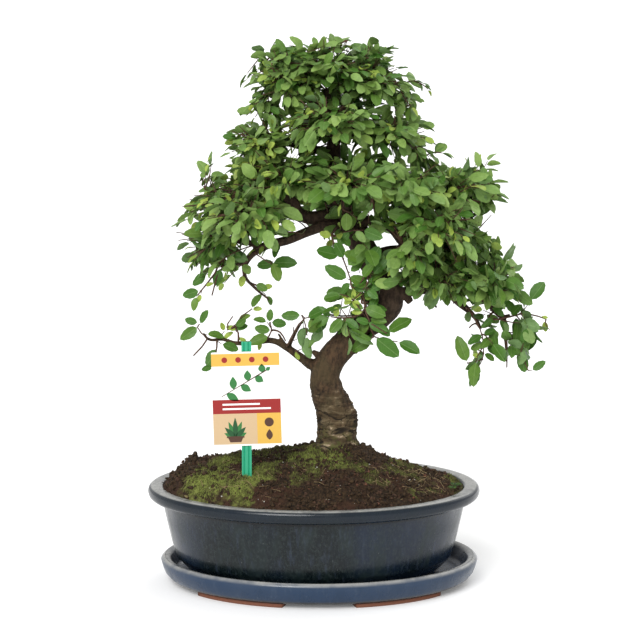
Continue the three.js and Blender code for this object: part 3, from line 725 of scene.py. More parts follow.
class BONSAI_OT_soil(Operator):
    """Heaps the soil in the pot, with moss, crumbs, grit and bits of straw"""

    bl_idname = "bonsai.soil"
    bl_label = "Soil and moss"

    def execute(self, context):
        soil = context.scene.bonsai_soil
        self.heap(soil)
        self.moss(soil)
        self.litter(soil)
        return {"FINISHED"}

    def heap(self, soil):
        """The whole soil body: rings that start round the trunk's foot and end at the pot's wall."""
        rings, steps = 114, 390
        flag = 0.200  # the top's rings are lathed at this height, and then set on the mound
        bottom = SOIL_LOW.z / MM
        profile = [(MM * SOIL_WIDE * i / rings, flag) for i in range(rings + 1)]
        profile += [(MM * 127.5, MM * 47), (MM * 113, MM * (bottom + 0.2)), (0, MM * bottom)]
        bm = lathe(profile, steps)
        for vert in bm.verts:
            if vert.co.z > 0.95 * flag:
                share = math.hypot(vert.co.x, vert.co.y) / (MM * SOIL_WIDE)
                to_rim = 1 + 0.020 * max(0, (share - 0.92) / 0.08)
                x = to_rim * (vert.co.x / MM + TRUNK_FOOT.x * (1 - share))
                vert.co = on_mound(x, to_rim * (vert.co.y / MM * OVAL))
            else:
                vert.co = Vector((vert.co.x + POT_MIDDLE.x, vert.co.y * OVAL, vert.co.z))
        bmesh.ops.recalc_face_normals(bm, faces=bm.faces)
        mesh = mesh_from(bm, "soil_heap")
        places = [((vert.co.x - POT_MIDDLE.x) / MM, vert.co.y / MM) for vert in mesh.vertices]
        mark(mesh, "moss", [mossy(x, y) for x, y in places])
        mark(mesh, "fresh", [fresh(x, y) for x, y in places])
        new_piece("soil_heap", mesh, [soil_finish(soil)], ["soil"])

    def moss(self, soil):
        """Moss shoots where moss grows."""
        draw = random.Random(5)
        shoot = shoot_template("shoot")
        bm = bmesh.new()
        brightness = []
        while len(bm.verts) < len(shoot.vertices) * soil.tufts:
            x, y = scatter_place(draw)
            if mossy(x, y) < 0.42 + 0.4 * draw.random():
                continue
            tall = MM * draw.uniform(1.5, 3.6)
            place = Matrix.Translation(on_mound(x, y, -0.4))
            add_copy(bm, shoot, place @ random_turn(draw, 0.8) @ Matrix.Scale(tall, 4))
            shade = clamp(fresh(x, y) + draw.gauss(0, 0.24))
            brightness += [shade] * (len(bm.verts) - len(brightness))
        bpy.data.meshes.remove(shoot)
        finish = Finish("moss_shoots", soil.old_moss, Roughness=0.8, Specular_IOR_Level=0.2)
        grain = finish.grain(700.0)["Grain"]
        finish.paint(soil.moss, finish.attribute("fresh"))
        finish.paint(soil.earth, grain, 0.45, 0.75, 0.5)
        mesh = mesh_from(bm, "moss_shoots")
        mark(mesh, "fresh", brightness)
        new_piece("moss_shoots", mesh, [finish.done(grain, 0.3, 0.0003)])

    def litter(self, soil):
        """Crumbs, chips, grit, straw and roots on the mound."""
        draw = random.Random(8)
        dark_crumb = plain_finish("dark_crumbs", soil.earth, soil.dry, 500.0, 0.95, 0.001)
        red_crumb = plain_finish("red_crumbs", (0.024, 0.012, 0.008), (0.080, 0.043, 0.026), 500.0,
                                 0.95, 0.001)
        chip = plain_finish("bark_chips", (0.070, 0.026, 0.015), (0.190, 0.085, 0.050), 500.0, 0.85)
        pale = plain_finish("grit", (0.45, 0.43, 0.38), (0.80, 0.78, 0.72), 800.0, 0.8)
        straw = plain_finish("straw", (0.16, 0.105, 0.05), (0.36, 0.27, 0.14), 400.0, 0.7)
        rootlet = plain_finish("rootlets", (0.020, 0.012, 0.008), (0.080, 0.050, 0.030), 400.0, 0.8)
        heaps = ((50, -2, 8, 12), (50, -2, 8, 12), (38, -21, 10, 6), (-118, -6, 9, 22))
        self.strew("soil_crumbs", draw, int(0.6 * soil.crumbs), (1.2, 7.0), dark_crumb, 0.34, heaps)
        self.strew("red_crumbs", draw, int(0.4 * soil.crumbs), (1.0, 5.0), red_crumb, 0.12, heaps)
        self.strew("bark_chips", draw, 130, (1.2, 4.2), chip, 0.25, ((82, 30, 10, 7),))
        self.strew("grit", draw, 170, (0.7, 2.0), pale)
        self.threads("straw", draw, 210, (4, 13), 0.20, straw, (96, -30, 26, 26))
        self.threads("rootlets", draw, 260, (4, 16), 0.16, rootlet, (0, 0, 90, 60))
        self.threads("pale_roots", draw, 15, (12, 22), 0.26, straw, (-86, -66, 28, 13))

    def strew(self, name, draw, count, sizes, material, heaped=0, heaps=()):
        """Small rough lumps all over the mound, with a share of them in some heaps."""
        template = lump_template(name, 3, 0.6)
        bm = bmesh.new()
        small, large = sizes
        for _ in range(count):
            x, y = scatter_place(draw)
            while mossy(x, y) > 0.38 + 0.6 * draw.random() ** 2:
                x, y = scatter_place(draw)
            size = small + (large - small) * draw.random() ** 2.4
            if draw.random() < heaped:
                heap_x, heap_y, spread_x, spread_y = draw.choice(heaps)
                x, y = draw.gauss(heap_x, spread_x), draw.gauss(heap_y, spread_y)
                size *= 1.3
            shape = Matrix.Diagonal((1, draw.uniform(0.6, 1), draw.uniform(0.45, 0.9), 1))
            place = Matrix.Translation(on_mound(x, y, 0.12 * size))
            add_copy(bm, template, place @ random_turn(draw) @ shape @ Matrix.Scale(size * MM, 4))
        bpy.data.meshes.remove(template)
        new_piece(name, mesh_from(bm, name, smooth=False), [material])

    def threads(self, name, draw, count, lengths, radius, material, tangle):
        """Thin bent threads that lie on the mound, two thirds of them in a tangle."""
        routes = []
        for i in range(count):
            x, y = scatter_place(draw)
            x, y = 0.93 * x, 0.93 * y
            if i % 3:
                dense_x, dense_y = draw.gauss(tangle[0], tangle[2]), draw.gauss(tangle[1], tangle[3])
                if (dense_x / 132) ** 2 + (dense_y / (132 * OVAL)) ** 2 < 1:
                    x, y = dense_x, dense_y
            turn = draw.uniform(0, ROUND)
            reach = draw.uniform(*lengths)
            points = []
            for share in (-0.5, 0, 0.5):
                turn += draw.gauss(0, 0.35)
                px = x + share * reach * math.cos(turn)
                py = y + share * reach * math.sin(turn)
                lift = 0.3 + 1.1 * (0.5 + share) * draw.random() * 2
                points.append((on_mound(px, py, lift), radius * MM))
            routes.append(points)
        new_piece(name, tubes(name, routes, 3, 3), [material])


# Trunk and limbs

def tubes(name, routes, sides, steps):
    """A mesh of round tapering tubes along smooth routes of places and radii."""
    curve = bpy.data.curves.new(name, "CURVE")
    curve.dimensions = "3D"
    curve.bevel_depth = 1
    curve.bevel_resolution = max(0, sides // 2 - 2) if sides > 4 else 0
    curve.use_fill_caps = True
    curve.resolution_u = steps
    for route in routes:
        spline = curve.splines.new("BEZIER")
        spline.bezier_points.add(len(route) - 1)
        spline.radius_interpolation = "LINEAR"
        for point, (place, radius) in zip(spline.bezier_points, route):
            point.co = place
            point.radius = radius
            point.handle_left_type = point.handle_right_type = "AUTO"
    return evaluated(name, curve)


# The wood's routes in millimetres from the pot's middle: x, y, z and radius
TRUNK = [
    (22, 0, 104, 24), (22, 0, 124, 22), (22, 0, 136, 18.4), (22, 0, 150, 17.4), (19, -1, 167, 16.6),
    (13, -3, 182, 14.6), (10.5, -4, 197, 13.8), (16, -4, 211, 13.4), (28, -2, 225, 13),
    (44, 1, 240, 12.8), (60, 3, 252, 13.4), (70, 3, 266, 13.8), (65, 2, 284, 12.6), (54, 0, 302, 12.2),
    (44, -1, 320, 11.8), (37, 0, 338, 11.4), (29, 1, 354, 10), (21, 1, 371, 8.6), (18, 0, 390, 7.6),
    (18.5, 0, 412, 6.4), (16, 0, 438, 4.6), (11, 0, 463, 3)]
LIMBS = [
    [(72, 0, 279, 6), (84, -2, 273, 4.6), (90, -3, 265, 3.4)],
    [(102, 9, 275, 1.9), (109, 5, 267, 1.4), (114.5, 2, 259.5, 1.2)],
    [(36, 0, 337, 6), (12, -4, 337, 5.2), (-4, -8, 332.5, 4.6), (-24, -10, 324.5, 4.4),
     (-47, -12, 318, 4), (-62, -12, 304.5, 2.8), (-63.5, -12, 292, 1.8), (-55, -12, 281, 1.5),
     (-41, -12, 269, 1.1)],
    [(-47, -12, 318, 3.2), (-64, -10, 323, 2.6), (-80, -9, 323, 2)],
    [(-62, -12, 304.5, 2.2), (-76, -12, 300, 1.6), (-88, -11, 296, 1.2)],
    [(30, 4, 348, 8), (-12, 0, 346.5, 6), (-20, -5, 360, 5), (-40, -10, 371, 3.6), (-57, -12, 374, 2.4)],
    [(-38, -10, 370, 3), (-50, -26, 365, 2.2), (-55, -33, 362, 1.7)],
    [(30, 4, 352, 7), (8, 20, 360, 4.6), (-12, 36, 364, 3), (-22, 43, 365, 2.4)],
    [(40, -2, 340, 7), (53, -6, 341.5, 4.6), (68.5, -11, 337.5, 4.2), (79.5, -14, 325, 3.8),
     (93, -17, 305, 2.6)],
    [(66, 4, 280, 9), (80.5, 10, 273, 5.2), (97, 13, 274.5, 5), (119.6, 10, 276.5, 4.8),
     (136, 8, 263, 3.8), (150, 5, 250, 2.2), (155.8, 3, 239, 1.5)],
    [(54, 0, 304, 9), (75, 3, 312, 6), (98, 6, 309, 5.2), (126, 3, 296, 4.6), (145, -4, 282, 4.4),
     (157, -5, 270.5, 4), (170, -8, 257, 3.4), (176, -8, 250, 2.6), (177, -8, 240, 2),
     (179, -8, 221, 1.5), (178.7, -8, 210, 1.1)],
    [(108, 5, 304, 4), (120, 1, 313, 2.6), (128, -2, 319, 2)],
    [(176, -8, 252, 2), (182, -9, 254.5, 1.4)],
    [(177, -8, 238, 1.8), (181, -8, 233, 1.4), (184, -8, 229, 1.1)],
    [(22, 0, 366, 7.4), (45, -4, 372, 5), (75, -2, 368, 4.2), (98, -6, 369, 3), (105, -8, 370, 2.4)],
    [(84, -3, 368, 3), (98, -22, 358, 2.3), (105, -32, 353, 1.8)],
    [(88, -3, 368, 2.8), (112, 14, 361, 2.2), (136, 17, 360, 1.8), (147, 11, 364, 1.5)],
    [(25, 4, 358, 7), (50, 24, 364, 4.6), (70, 38, 366, 3), (80, 44, 366, 2.4)],
    [(34, 6, 350, 7.4), (32, 30, 360, 4.6), (31, 50, 368, 3), (31, 64, 371, 2.4)],
    [(60, 4, 296, 8), (78, 26, 304, 3.8), (90, 42, 310, 2.6)],
    [(30, -4, 352, 6.4), (30, -24, 362, 3.6), (29, -39, 370, 2.4)],
    [(18, 0, 404, 5.6), (-8, -2, 409, 3), (-26, -4, 413, 2.2)],
    [(18, 0, 416, 5), (46, -2, 427, 3.2), (60, 1, 430, 2.3)],
    [(16, 0, 438, 4), (0, -2, 450, 2.7), (-12, -3, 458, 2)],
    [(17, 0, 432, 4), (28, -1, 446, 3), (37, 0, 457, 2.1)],
    [(36, -4, 334, 4), (22, -24, 338, 2.0), (16, -32, 332, 1.2)],
    [(60, -6, 254, 3.4), (66, -18, 248, 1.6)],
    [(10, -8, 212, 5), (4, -11, 217, 3.6), (-1, -13, 221, 2)],
    [(28, -4, 222, 6), (36, -6, 220, 3), (41, -7, 219, 1.5)],
    [(10, -4, 205, 8), (-2, -4, 207, 5.4), (-10, -3, 212, 4.2), (-24.6, -3, 222.4, 3.3),
     (-38.8, -3, 229.3, 2.9), (-53, -3, 227.5, 2.4), (-72.4, -2, 226.7, 2.0), (-84.4, -2, 230.3, 1.7),
     (-97.7, -1, 230.3, 1.5), (-103, -1, 236, 1.2)],
    [(-24, -3, 222, 2.0), (-15, -3, 240, 1.2), (-10, -4, 248, 1.0)],
    [(-26, -3, 224, 1.9), (-33, -3, 236, 1.1)],
]

KNOB = Vector((74, -3, 263))  # the dark healed cut on the outer side of the trunk's bend


def wood_route(points):
    return [(from_pot(x, y, z), radius * MM) for x, y, z, radius in points]


def bark_relief(place, thick):
    """Height of the bark at a place, and how deep in a crack it lies."""
    x, y, z = place
    near_foot = clamp((205 - z) / 50)
    bend = 5 * noise.noise(place / 18) + 2 * noise.noise(place / 7)
    level = wavy(x / 34, y / 34, (z + bend) / 6.5)
    slant = noise.noise(Vector((x / 15, y / 15, (z - 0.55 * x) / 15)) + UP * 7)
    crack = max(0, 1 - abs(level) / 0.075) * near_foot
    crack = max(crack, max(0, 1 - abs(slant) / 0.035) * (0.35 + 0.65 * near_foot) * thick)
    plates = noise.noise(place / 6) + 0.6 * noise.noise(place / 2.6)
    long_grain = wavy(x / 3.4, y / 3.4, z / 12)
    height = 0.9 * plates * near_foot + 0.35 * long_grain * thick + 0.25 * plates * thick - 1.1 * crack
    return height, crack


def burl(place):
    """The knotty swelling on the right side of the trunk's foot, and the flare of the roots."""
    x, y, z = place
    near = math.exp(-((z - 158) / 11) ** 2 - ((x - 40) / 11) ** 2 - ((y + 4) / 15) ** 2)
    knots = 3.2 * noise.noise(place / 3.4) + 1.8 * noise.noise(place / 1.7)
    around = math.atan2(y, x - TRUNK_FOOT.x)
    flare = math.exp(-max(0, z - 118) / 7) * (1.2 + 1.6 * math.sin(5 * around + 1.2))
    left = 1.7 * math.exp(-((z - 160) / 30) ** 2 - ((x - 2) / 10) ** 2)
    return near * (2.6 + knots) + flare + left


def bark_finish(bark):
    finish = Finish("bark", bark.brown, Roughness=0.88, Specular_IOR_Level=0.25)
    coarse = finish.grain(120.0, 9.0, (0.6, 0.6, 1.6))["Grain"]
    lines = finish.grain(190.0, 6.0, (0.22, 0.22, 2.6))["Grain"]
    grain = finish.grain(330.0, 8.0, (1.0, 1.0, 0.35))["Grain"]
    mottle = finish.grain(180.0, 5.0)
    height = finish.height()
    near_foot = finish.spread(height, 0.200, 0.155)
    finish.paint(bark.grey, grain, 0.30, 0.68)
    finish.paint((0.062, 0.048, 0.022), mottle["Patches"], 0.42, 0.60, 0.5)
    finish.paint((0.200, 0.150, 0.085), finish.times(finish.spread(coarse, 0.46, 0.62, 0, 0.55), near_foot))
    flakes = finish.times(finish.spread(coarse, 0.60, 0.66), finish.spread(grain, 0.42, 0.55))
    finish.paint(bark.flake, finish.times(flakes, near_foot))
    finish.paint((0.018, 0.012, 0.007), finish.times(finish.spread(lines, 0.44, 0.36, 0, 0.8), near_foot))
    lichen = finish.times(finish.spread(mottle["Grain"], 0.46, 0.60),
                          finish.spread(height, 0.160, 0.122, 0, 0.6))
    finish.paint((0.085, 0.100, 0.022), lichen)
    # Painted shade: near black in the cracks of the bark; the same mark also gives the healed cut at the
    # knob its own dark colour.
    finish.paint((0.010, 0.007, 0.005), finish.attribute("crack"), 0.05, 0.7, 0.9)
    dark_limb = finish.mix(finish.spread(grain, 0.35, 0.7), (0.020, 0.012, 0.008), (0.070, 0.045, 0.030))
    finish.paint(dark_limb, height, 0.215, 0.270, 0.80)
    relief = finish.math("ADD", coarse, finish.times(grain, 0.7))
    relief = finish.math("ADD", relief, finish.times(lines, 0.8))
    return finish.done(relief, 0.9, 0.0016)


class BONSAI_OT_trunk(Operator):
    """Grows the trunk and its limbs in one skin, with cracked bark"""

    bl_idname = "bonsai.trunk"
    bl_label = "Trunk and limbs"

    def execute(self, context):
        bark = context.scene.bonsai_bark
        name = "trunk_bark"
        skin = tubes(name, [wood_route(points) for points in [TRUNK] + LIMBS], 16, 10)
        skin = evaluated(name, skin, (("REMESH", {"mode": "VOXEL", "voxel_size": bark.grain}),
                                      ("SMOOTH", {"factor": 0.5, "iterations": 4})))
        self.shape(skin, bark.relief)
        skin = evaluated(name, skin, (("DECIMATE", {"ratio": 0.5}),))
        new_piece(name, skin, [bark_finish(bark)], ["trunk"])
        return {"FINISHED"}

    def shape(self, skin, relief):
        """Raises the bark's plates and the burl, and notes the cracks."""
        places = [(vert.co - from_pot(0, 0, 0)) / MM for vert in skin.vertices]
        normals = [vert.normal.copy() for vert in skin.vertices]
        trunk = [(Vector(point[:3]), point[3]) for point in TRUNK]
        cracks = []
        for vert, place, normal in zip(skin.vertices, places, normals):
            reach = min((place - point).length - radius for point, radius in trunk)
            height, crack = bark_relief(place, max(0.12, min(1, 1 - reach / 8)))
            vert.co += normal * (relief * height + MM * burl(place))
            vert.co.z = max(vert.co.z, 0.105)
            # The knob's dark healed cut rides on the crack mark, which elsewhere carries painted shade in
            # the cracks.
            knob = 0.5 * math.exp(-((place - KNOB).length / 15) ** 2)
            cracks.append(max(crack, knob))
        mark(skin, "crack", cracks)
        skin.shade_smooth()


# Foliage

LEAF_TEETH = 4
UPPER, UNDER, WOOD = range(3)  # the material slots of leaves and twigs
# Fold along the rib, droop of the tip, waves of the edge, and width over length
LEAF_SHAPES = [
    (0.30, 0.10, 0.06, 0.57), (0.18, 0.20, 0.10, 0.60), (0.42, 0.04, 0.05, 0.55),
    (0.10, 0.14, 0.14, 0.62), (0.26, -0.08, 0.08, 0.58), (0.34, 0.28, 0.06, 0.53)]


def leaf_template(name, shape):
    """A serrate leaf of unit length along +X, with its stalk: two faces of one thin closed body."""
    fold, droop, wave, aspect = shape
    stations = 2 * LEAF_TEETH
    bm = bmesh.new()
    bmesh.ops.create_grid(bm, x_segments=stations, y_segments=2, size=0.5)
    for vert in bm.verts:
        along = vert.co.x + 0.5
        side = round(2 * vert.co.y)
        half = 0.5 * aspect * math.sin(math.pi * along ** 0.90) ** 0.60 if 0 < along < 1 else 0
        if round(along * stations) % 2 == 0:
            half *= 0.945
        elif side:
            along += 0.012
        y = side * half * (1.06 if side > 0 else 0.97)
        z = fold * abs(y) - droop * along ** 2 + wave * math.sin(9 * along + 2 * side) * abs(y)
        vert.co = (along, y, z)
    bmesh.ops.remove_doubles(bm, verts=bm.verts, dist=1e-4)
    layer = bm.loops.layers.uv.new("leaf")
    for face in bm.faces:
        for loop in face.loops:
            loop[layer].uv = (loop.vert.co.x, 0.5 + loop.vert.co.y / aspect)
    back = bmesh.ops.duplicate(bm, geom=bm.verts[:] + bm.edges[:] + bm.faces[:])["geom"]
    for vert in of_kind(bmesh.types.BMVert, back):
        if not vert.is_boundary:
            vert.co.z -= 0.012
    back_faces = of_kind(bmesh.types.BMFace, back)
    for face in back_faces:
        face.material_index = UNDER
    bmesh.ops.reverse_faces(bm, faces=back_faces)
    bmesh.ops.remove_doubles(bm, verts=bm.verts, dist=1e-5)
    for edge in bm.edges:
        if len({face.material_index for face in edge.link_faces}) > 1:
            edge.smooth = False
    blade = set(bm.faces)
    stalk = Matrix.Translation((-0.05, 0, -0.006)) @ Matrix.Rotation(math.pi / 2, 4, "Y")
    bmesh.ops.create_cone(bm, cap_ends=True, segments=3, radius1=0.022, radius2=0, depth=0.14,
                          matrix=stalk)
    for face in bm.faces:
        if face not in blade:
            face.material_index = WOOD
    return mesh_from(bm, name)


def leaf_finish(name, leaf, grown, rough):
    """A leaf's upper face or underside, with its veins."""
    finish = Finish(name, grown, Specular_IOR_Level=0.22)
    parts = finish.add("ShaderNodeSeparateXYZ")
    finish.link(finish.add("ShaderNodeUVMap", uv_map="leaf").outputs["UV"], parts.inputs[0])
    off_rib = finish.math("ABSOLUTE", finish.math("SUBTRACT", parts.outputs["Y"], 0.5))
    slope = finish.math("SUBTRACT", parts.outputs["X"], finish.times(off_rib, 0.55))
    wave = finish.math("ABSOLUTE", finish.math("SINE", finish.times(slope, 30.0)))
    side_veins = finish.times(finish.spread(wave, 0.16, 0.02), 0.55)
    veins = finish.math("MAXIMUM", side_veins, finish.spread(off_rib, 0.035, 0.012))
    mottle = finish.grain(260.0)["Grain"]
    # Painted light: each leaf leans toward the sunlit green, partly at random and more so where sunlit() is
    # high.
    finish.paint(leaf.light, finish.attribute("tint"), 0.0, 1.0)
    finish.paint(leaf.young, finish.attribute("youth"))
    finish.paint((0.36, 0.50, 0.20), finish.times(veins, 0.20))
    finish.paint(shaded(leaf.green, 0.55), mottle, 0.35, 0.75, 0.30)
    # Painted shade: leaves deeper inside a spray are darker.
    finish.paint((0.050, 0.100, 0.030), finish.times(finish.attribute("depth"), 0.15))
    finish.wear("Roughness", finish.spread(mottle, 0.3, 0.7, *rough))
    return finish.done(finish.math("SUBTRACT", 1.0, veins), 0.35, 0.0004)


class Twig:
    """A bending twig from one place to another, which bows up in its middle."""

    def __init__(self, start, end, bow):
        self.start = start
        self.end = end
        self.middle = (start + end) / 2 + bow

    def place(self, share):
        rest = 1 - share
        return rest * rest * self.start + 2 * rest * share * self.middle + share * share * self.end

    def heading(self, share):
        slope = (1 - share) * (self.middle - self.start) + share * (self.end - self.middle)
        return slope.normalized()

    def route(self, thick, thin):
        """Four places along the twig, with radii in millimetres from its foot to its tip."""
        return [(self.place(i / 3), (thick + (thin - thick) * i / 3) * MM) for i in range(4)]


# Gaps of the crown that show light from the front, in millimetres: x, z on the trunk's plane, half
# width, half height
GAPS = [(70, 322, 13, 11), (-20, 276, 39, 32), (4, 297, 22, 24), (108, 245, 26, 20),
        (180, 338, 28, 20), (209, 300, 20, 20), (53, 208, 22, 14), (78, 264, 17, 18),
        (-104, 281, 20, 10), (-78, 436, 16, 13), (-135, 322, 13, 20)]


def in_gap(place):
    """Whether a place would cover one of the gaps, seen from the front."""
    x = (place.x - POT_MIDDLE.x) / MM
    z = (place.z + VIEW_SLOPE * place.y) / MM
    return any(((x - gap_x) / wide) ** 2 + ((z - gap_z) / tall) ** 2 < 1
               for gap_x, gap_z, wide, tall in GAPS)


def sunlit(place):
    """How much painted sunlight pales the leaves at a place: more so at the left and half way up the crown.
    """
    x, z = (place.x - POT_MIDDLE.x) / MM, place.z / MM
    return 0.08 + 0.34 * clamp((10 - x) / 70) + 0.26 * math.exp(-((z - 385) / 45) ** 2)


def in_reach(place):
    """Whether a place is inside the packed plant's box, or only just outside it."""
    low, high = CAD_BOX
    return all(low[i] - slack < place[i] < high[i] + slack
               for i, slack in enumerate((3 * MM, 3 * MM, 4 * MM)))


# Thin shoots outside the dense crown, in millimetres from the pot's middle: how far back they hang,
# each twig's places (x, z), and each leaf's base and tip (x, z, x, z)
SHOOTS = {
    "spray_low_tip": (-4, [
        [(-100, 233), (-108, 242), (-106, 245)], [(-99, 231), (-112, 215)],
        [(-90, 229), (-90, 224), (-93, 207)]], [
        (-106, 245, -98, 257), (-107, 246, -119, 249), (-107, 243, -122, 233), (-100, 236, -85, 235),
        (-86, 227, -72, 221), (-90, 223, -98, 208), (-93, 207, -103, 203), (-84, 230, -77, 237),
        (-83, 238, -86, 245)]),
    "spray_low_inner": (-6, [
        [(-70, 229), (-70, 237), (-73, 244), (-58, 259)], [(-80, 240), (-75, 253)]], [
        (-73, 243, -64, 249), (-74, 240, -63, 244), (-70, 248, -61, 254), (-58, 260, -50, 272),
        (-57, 259, -49, 260), (-62, 229, -69, 232), (-71, 240, -80, 243)]),
    "spray_low_mid": (-8, [
        [(-44, 231), (-39, 240), (-41, 248)], [(-37, 240), (-31, 238), (-26, 230)],
        [(-25, 226), (-19, 234), (-19, 242)]], [
        (-39, 240, -53, 242), (-43, 248, -54, 252), (-41, 248, -40, 259), (-40, 248, -27, 246),
        (-41, 235, -58, 229), (-49, 229, -51, 222), (-16, 231, -7, 241)]),
    "spray_low_right": (-12, [
        [(-24, 227), (-18, 239), (-8, 252), (15, 255)], [(-16, 221), (-14, 218)],
        [(15, 255), (26, 254), (37, 255)]], [
        (-11, 255, -28, 254), (-11, 223, -1, 230), (-17, 221, -14, 213), (-7, 252, 10, 260),
        (13, 255, 1, 240), (3, 254, -4, 244), (15, 256, 24, 264), (26, 254, 18, 240), (37, 255, 29, 242),
        (27, 274, 11, 270)]),
    "spray_left_dangle": (-12, [
        [(-82, 307), (-91, 294), (-103, 279), (-107, 274)], [(-83, 301), (-94, 273)],
        [(-64, 299), (-65, 292)], [(-58, 285), (-47, 280)]], [
        (-98, 293, -112, 284), (-85, 299, -91, 284), (-100, 282, -93, 285), (-105, 278, -119, 274),
        (-104, 275, -107, 268), (-108, 273, -111, 261), (-65, 293, -67, 283), (-47, 280, -39, 282),
        (-54, 284, -44, 279), (-44, 273, -38, 264)]),
    "spray_limb_small": (-22, [[(-54, 314), (-38, 303)]], [
        (-35, 304, -51, 302), (-39, 304, -18, 306), (-38, 306, -32, 290)]),
    "spray_trunk_front": (-32, [
        [(16, 333), (25, 315), (34, 290)], [(34, 290), (36, 283), (47, 294)],
        [(50, 300), (48, 284), (36, 271)]], [
        (51, 308, 30, 315), (50, 320, 34, 308), (49, 300, 59, 319), (54, 299, 63, 312),
        (50, 287, 63, 300), (50, 284, 36, 293), (49, 280, 36, 285), (52, 281, 62, 285),
        (36, 270, 27, 275), (36, 270, 30, 279), (36, 271, 37, 280), (36, 270, 42, 277),
        (36, 270, 29, 267), (36, 270, 42, 268), (48, 282, 58, 274), (58, 300, 70, 309),
        (25, 313, 5, 317), (32, 291, 13, 302), (30, 302, 48, 322), (28, 310, 21, 324),
        (21, 323, 31, 333), (17, 331, 7, 334), (33, 297, 44, 306), (44, 292, 54, 305),
        (36, 283, 48, 294), (34, 288, 26, 278), (47, 302, 59, 315), (54, 295, 65, 308), (49, 291, 60, 287)]),
    "spray_trunk_low_left": (-24, [
        [(44, 260), (34, 273), (25, 276)], [(44, 258), (28, 254), (16, 255)]], [
        (25, 276, 11, 273), (25, 263, 10, 260), (27, 254, 16, 242), (28, 253, 40, 245),
        (16, 255, -1, 248), (16, 255, 7, 263), (34, 273, 28, 267), (36, 272, 40, 264),
        (36, 274, 44, 277), (39, 273, 31, 280), (21, 254, 21, 263)]),
    "spray_trunk_low_right": (-24, [
        [(47, 268), (52, 249), (56, 236), (77, 231)], [(49, 263), (60, 260)], [(54, 248), (67, 240)],
        [(44, 268), (50, 280), (60, 282)]], [
        (46, 264, 64, 258), (51, 256, 65, 260), (51, 253, 66, 251), (54, 248, 69, 239),
        (67, 240, 87, 253), (55, 235, 37, 225), (56, 236, 76, 220), (77, 231, 96, 222),
        (46, 271, 57, 278), (52, 280, 63, 283), (44, 270, 36, 277), (52, 249, 41, 253),
        (46, 260, 36, 260), (50, 252, 44, 239), (45, 260, 65, 262), (49, 250, 66, 243),
        (47, 262, 34, 268), (52, 262, 58, 273)]),
    "spray_right_hang": (-6, [
        [(143, 260), (154, 242), (158, 224), (157, 212)], [(157, 212), (143, 209)],
        [(150, 246), (144, 242)]], [
        (143, 209, 135, 231), (144, 208, 153, 191), (157, 236, 144, 229), (157, 214, 149, 217),
        (159, 255, 172, 246), (157, 235, 167, 240), (159, 224, 177, 217), (157, 227, 147, 222),
        (158, 218, 167, 212), (154, 242, 164, 246), (156, 232, 167, 227)]),
    "spray_right_end": (-10, [
        [(177, 240), (179, 223), (179, 206)], [(182, 238), (187, 220), (192, 217), (199, 203)],
        [(180, 223), (185, 216)]], [
        (182, 238, 189, 225), (196, 241, 193, 220), (207, 239, 198, 223), (192, 220, 195, 203),
        (202, 203, 213, 211), (191, 217, 182, 225), (188, 223, 198, 228)]),
    "spray_right_drop": (-12, [
        [(162, 253), (172, 251), (192, 256), (207, 254), (215, 251)],
        [(192, 256), (197, 246), (196, 241)]], [
        (187, 254, 189, 235), (194, 252, 204, 238), (210, 253, 216, 253), (214, 250, 215, 240),
        (177, 253, 167, 261), (182, 254, 191, 264), (167, 253, 157, 246), (172, 252, 179, 240),
        (187, 255, 179, 268), (196, 241, 207, 240), (157, 259, 147, 262), (169, 259, 179, 268),
        (163, 259, 171, 270)]),
}


OPEN_SPRAYS = ("left_dangle", "left_low", "left_inner", "low_", "right_hang", "right_drop",
               "right_end", "limb_small", "trunk_")

# How far the leaves of some sprays stay back from their box at the left and right, in millimetres
TRIMS = {"spray_top_left": (13, 0), "spray_top_right": (0, 9), "spray_left_upper": (18, 0),
         "spray_left_low": (13, 0), "spray_upper_right": (0, 6), "spray_right_far": (0, 16),
         "spray_right_outer": (0, 11), "spray_right_tip": (0, 5)}
# More twigs round some places, in millimetres from the pot's middle: place, half sizes and number
PADS = {
    "spray_apex": [((-31, 0, 494), (15, 24, 5), 10), ((56, 0, 497), (11, 22, 7), 10),
                   ((-54, 0, 478), (7, 15, 6), 4), ((14, -10, 502), (30, 18, 4), 14)],
    "spray_top_left": [((-50, -4, 445), (14, 24, 12), 15), ((-31, 0, 443), (14, 14, 10), 6)],
    "spray_top_right": [((86, 0, 450), (8, 18, 10), 9), ((72, -5, 448), (8, 15, 6), 5),
                        ((90, -6, 469), (9, 6, 3), 3), ((103, -8, 463), (3, 3, 2), 1)],
    "spray_upper_right": [((94, -4, 399), (22, 22, 6), 15), ((117, -8, 405), (4, 4, 2), 2)],
    "spray_right_tip": [((150, 0, 392), (12, 8, 3), 3), ((160, 0, 367), (8, 12, 13), 5)],
    "spray_left_upper": [((-97, -5, 388), (6, 14, 7), 5)],
    "spray_left_low": [((-104, -8, 306), (12, 12, 3), 4), ((-76, -8, 304), (8, 10, 3), 2)],
    "spray_front_mid": [((45, -34, 352), (24, 10, 9), 7)],
}
# Random leafy twigs that join the given ones
EXTRA_TWIGS = {"spray_right_hang": 6, "spray_right_end": 3, "spray_right_drop": 9,
               "spray_low_right": 2, "spray_trunk_low_left": 2, "spray_trunk_low_right": 3,
               "spray_trunk_front": 2}


# Seedlings and fallen leaves on the soil: x and y from the pot's middle and size in millimetres, and
# number of leaves, of which one alone lies flat
SEEDLINGS = [(131, -33, 5, 5), (129, -38, 4.4, 4), (133, -27, 4.4, 4), (-120, -60, 11, 1)]

MOST_TWIGS = 150  # of one spray
ELLIPSOID_POWER = 1.6075  # of the usual formula for an ellipsoid's area


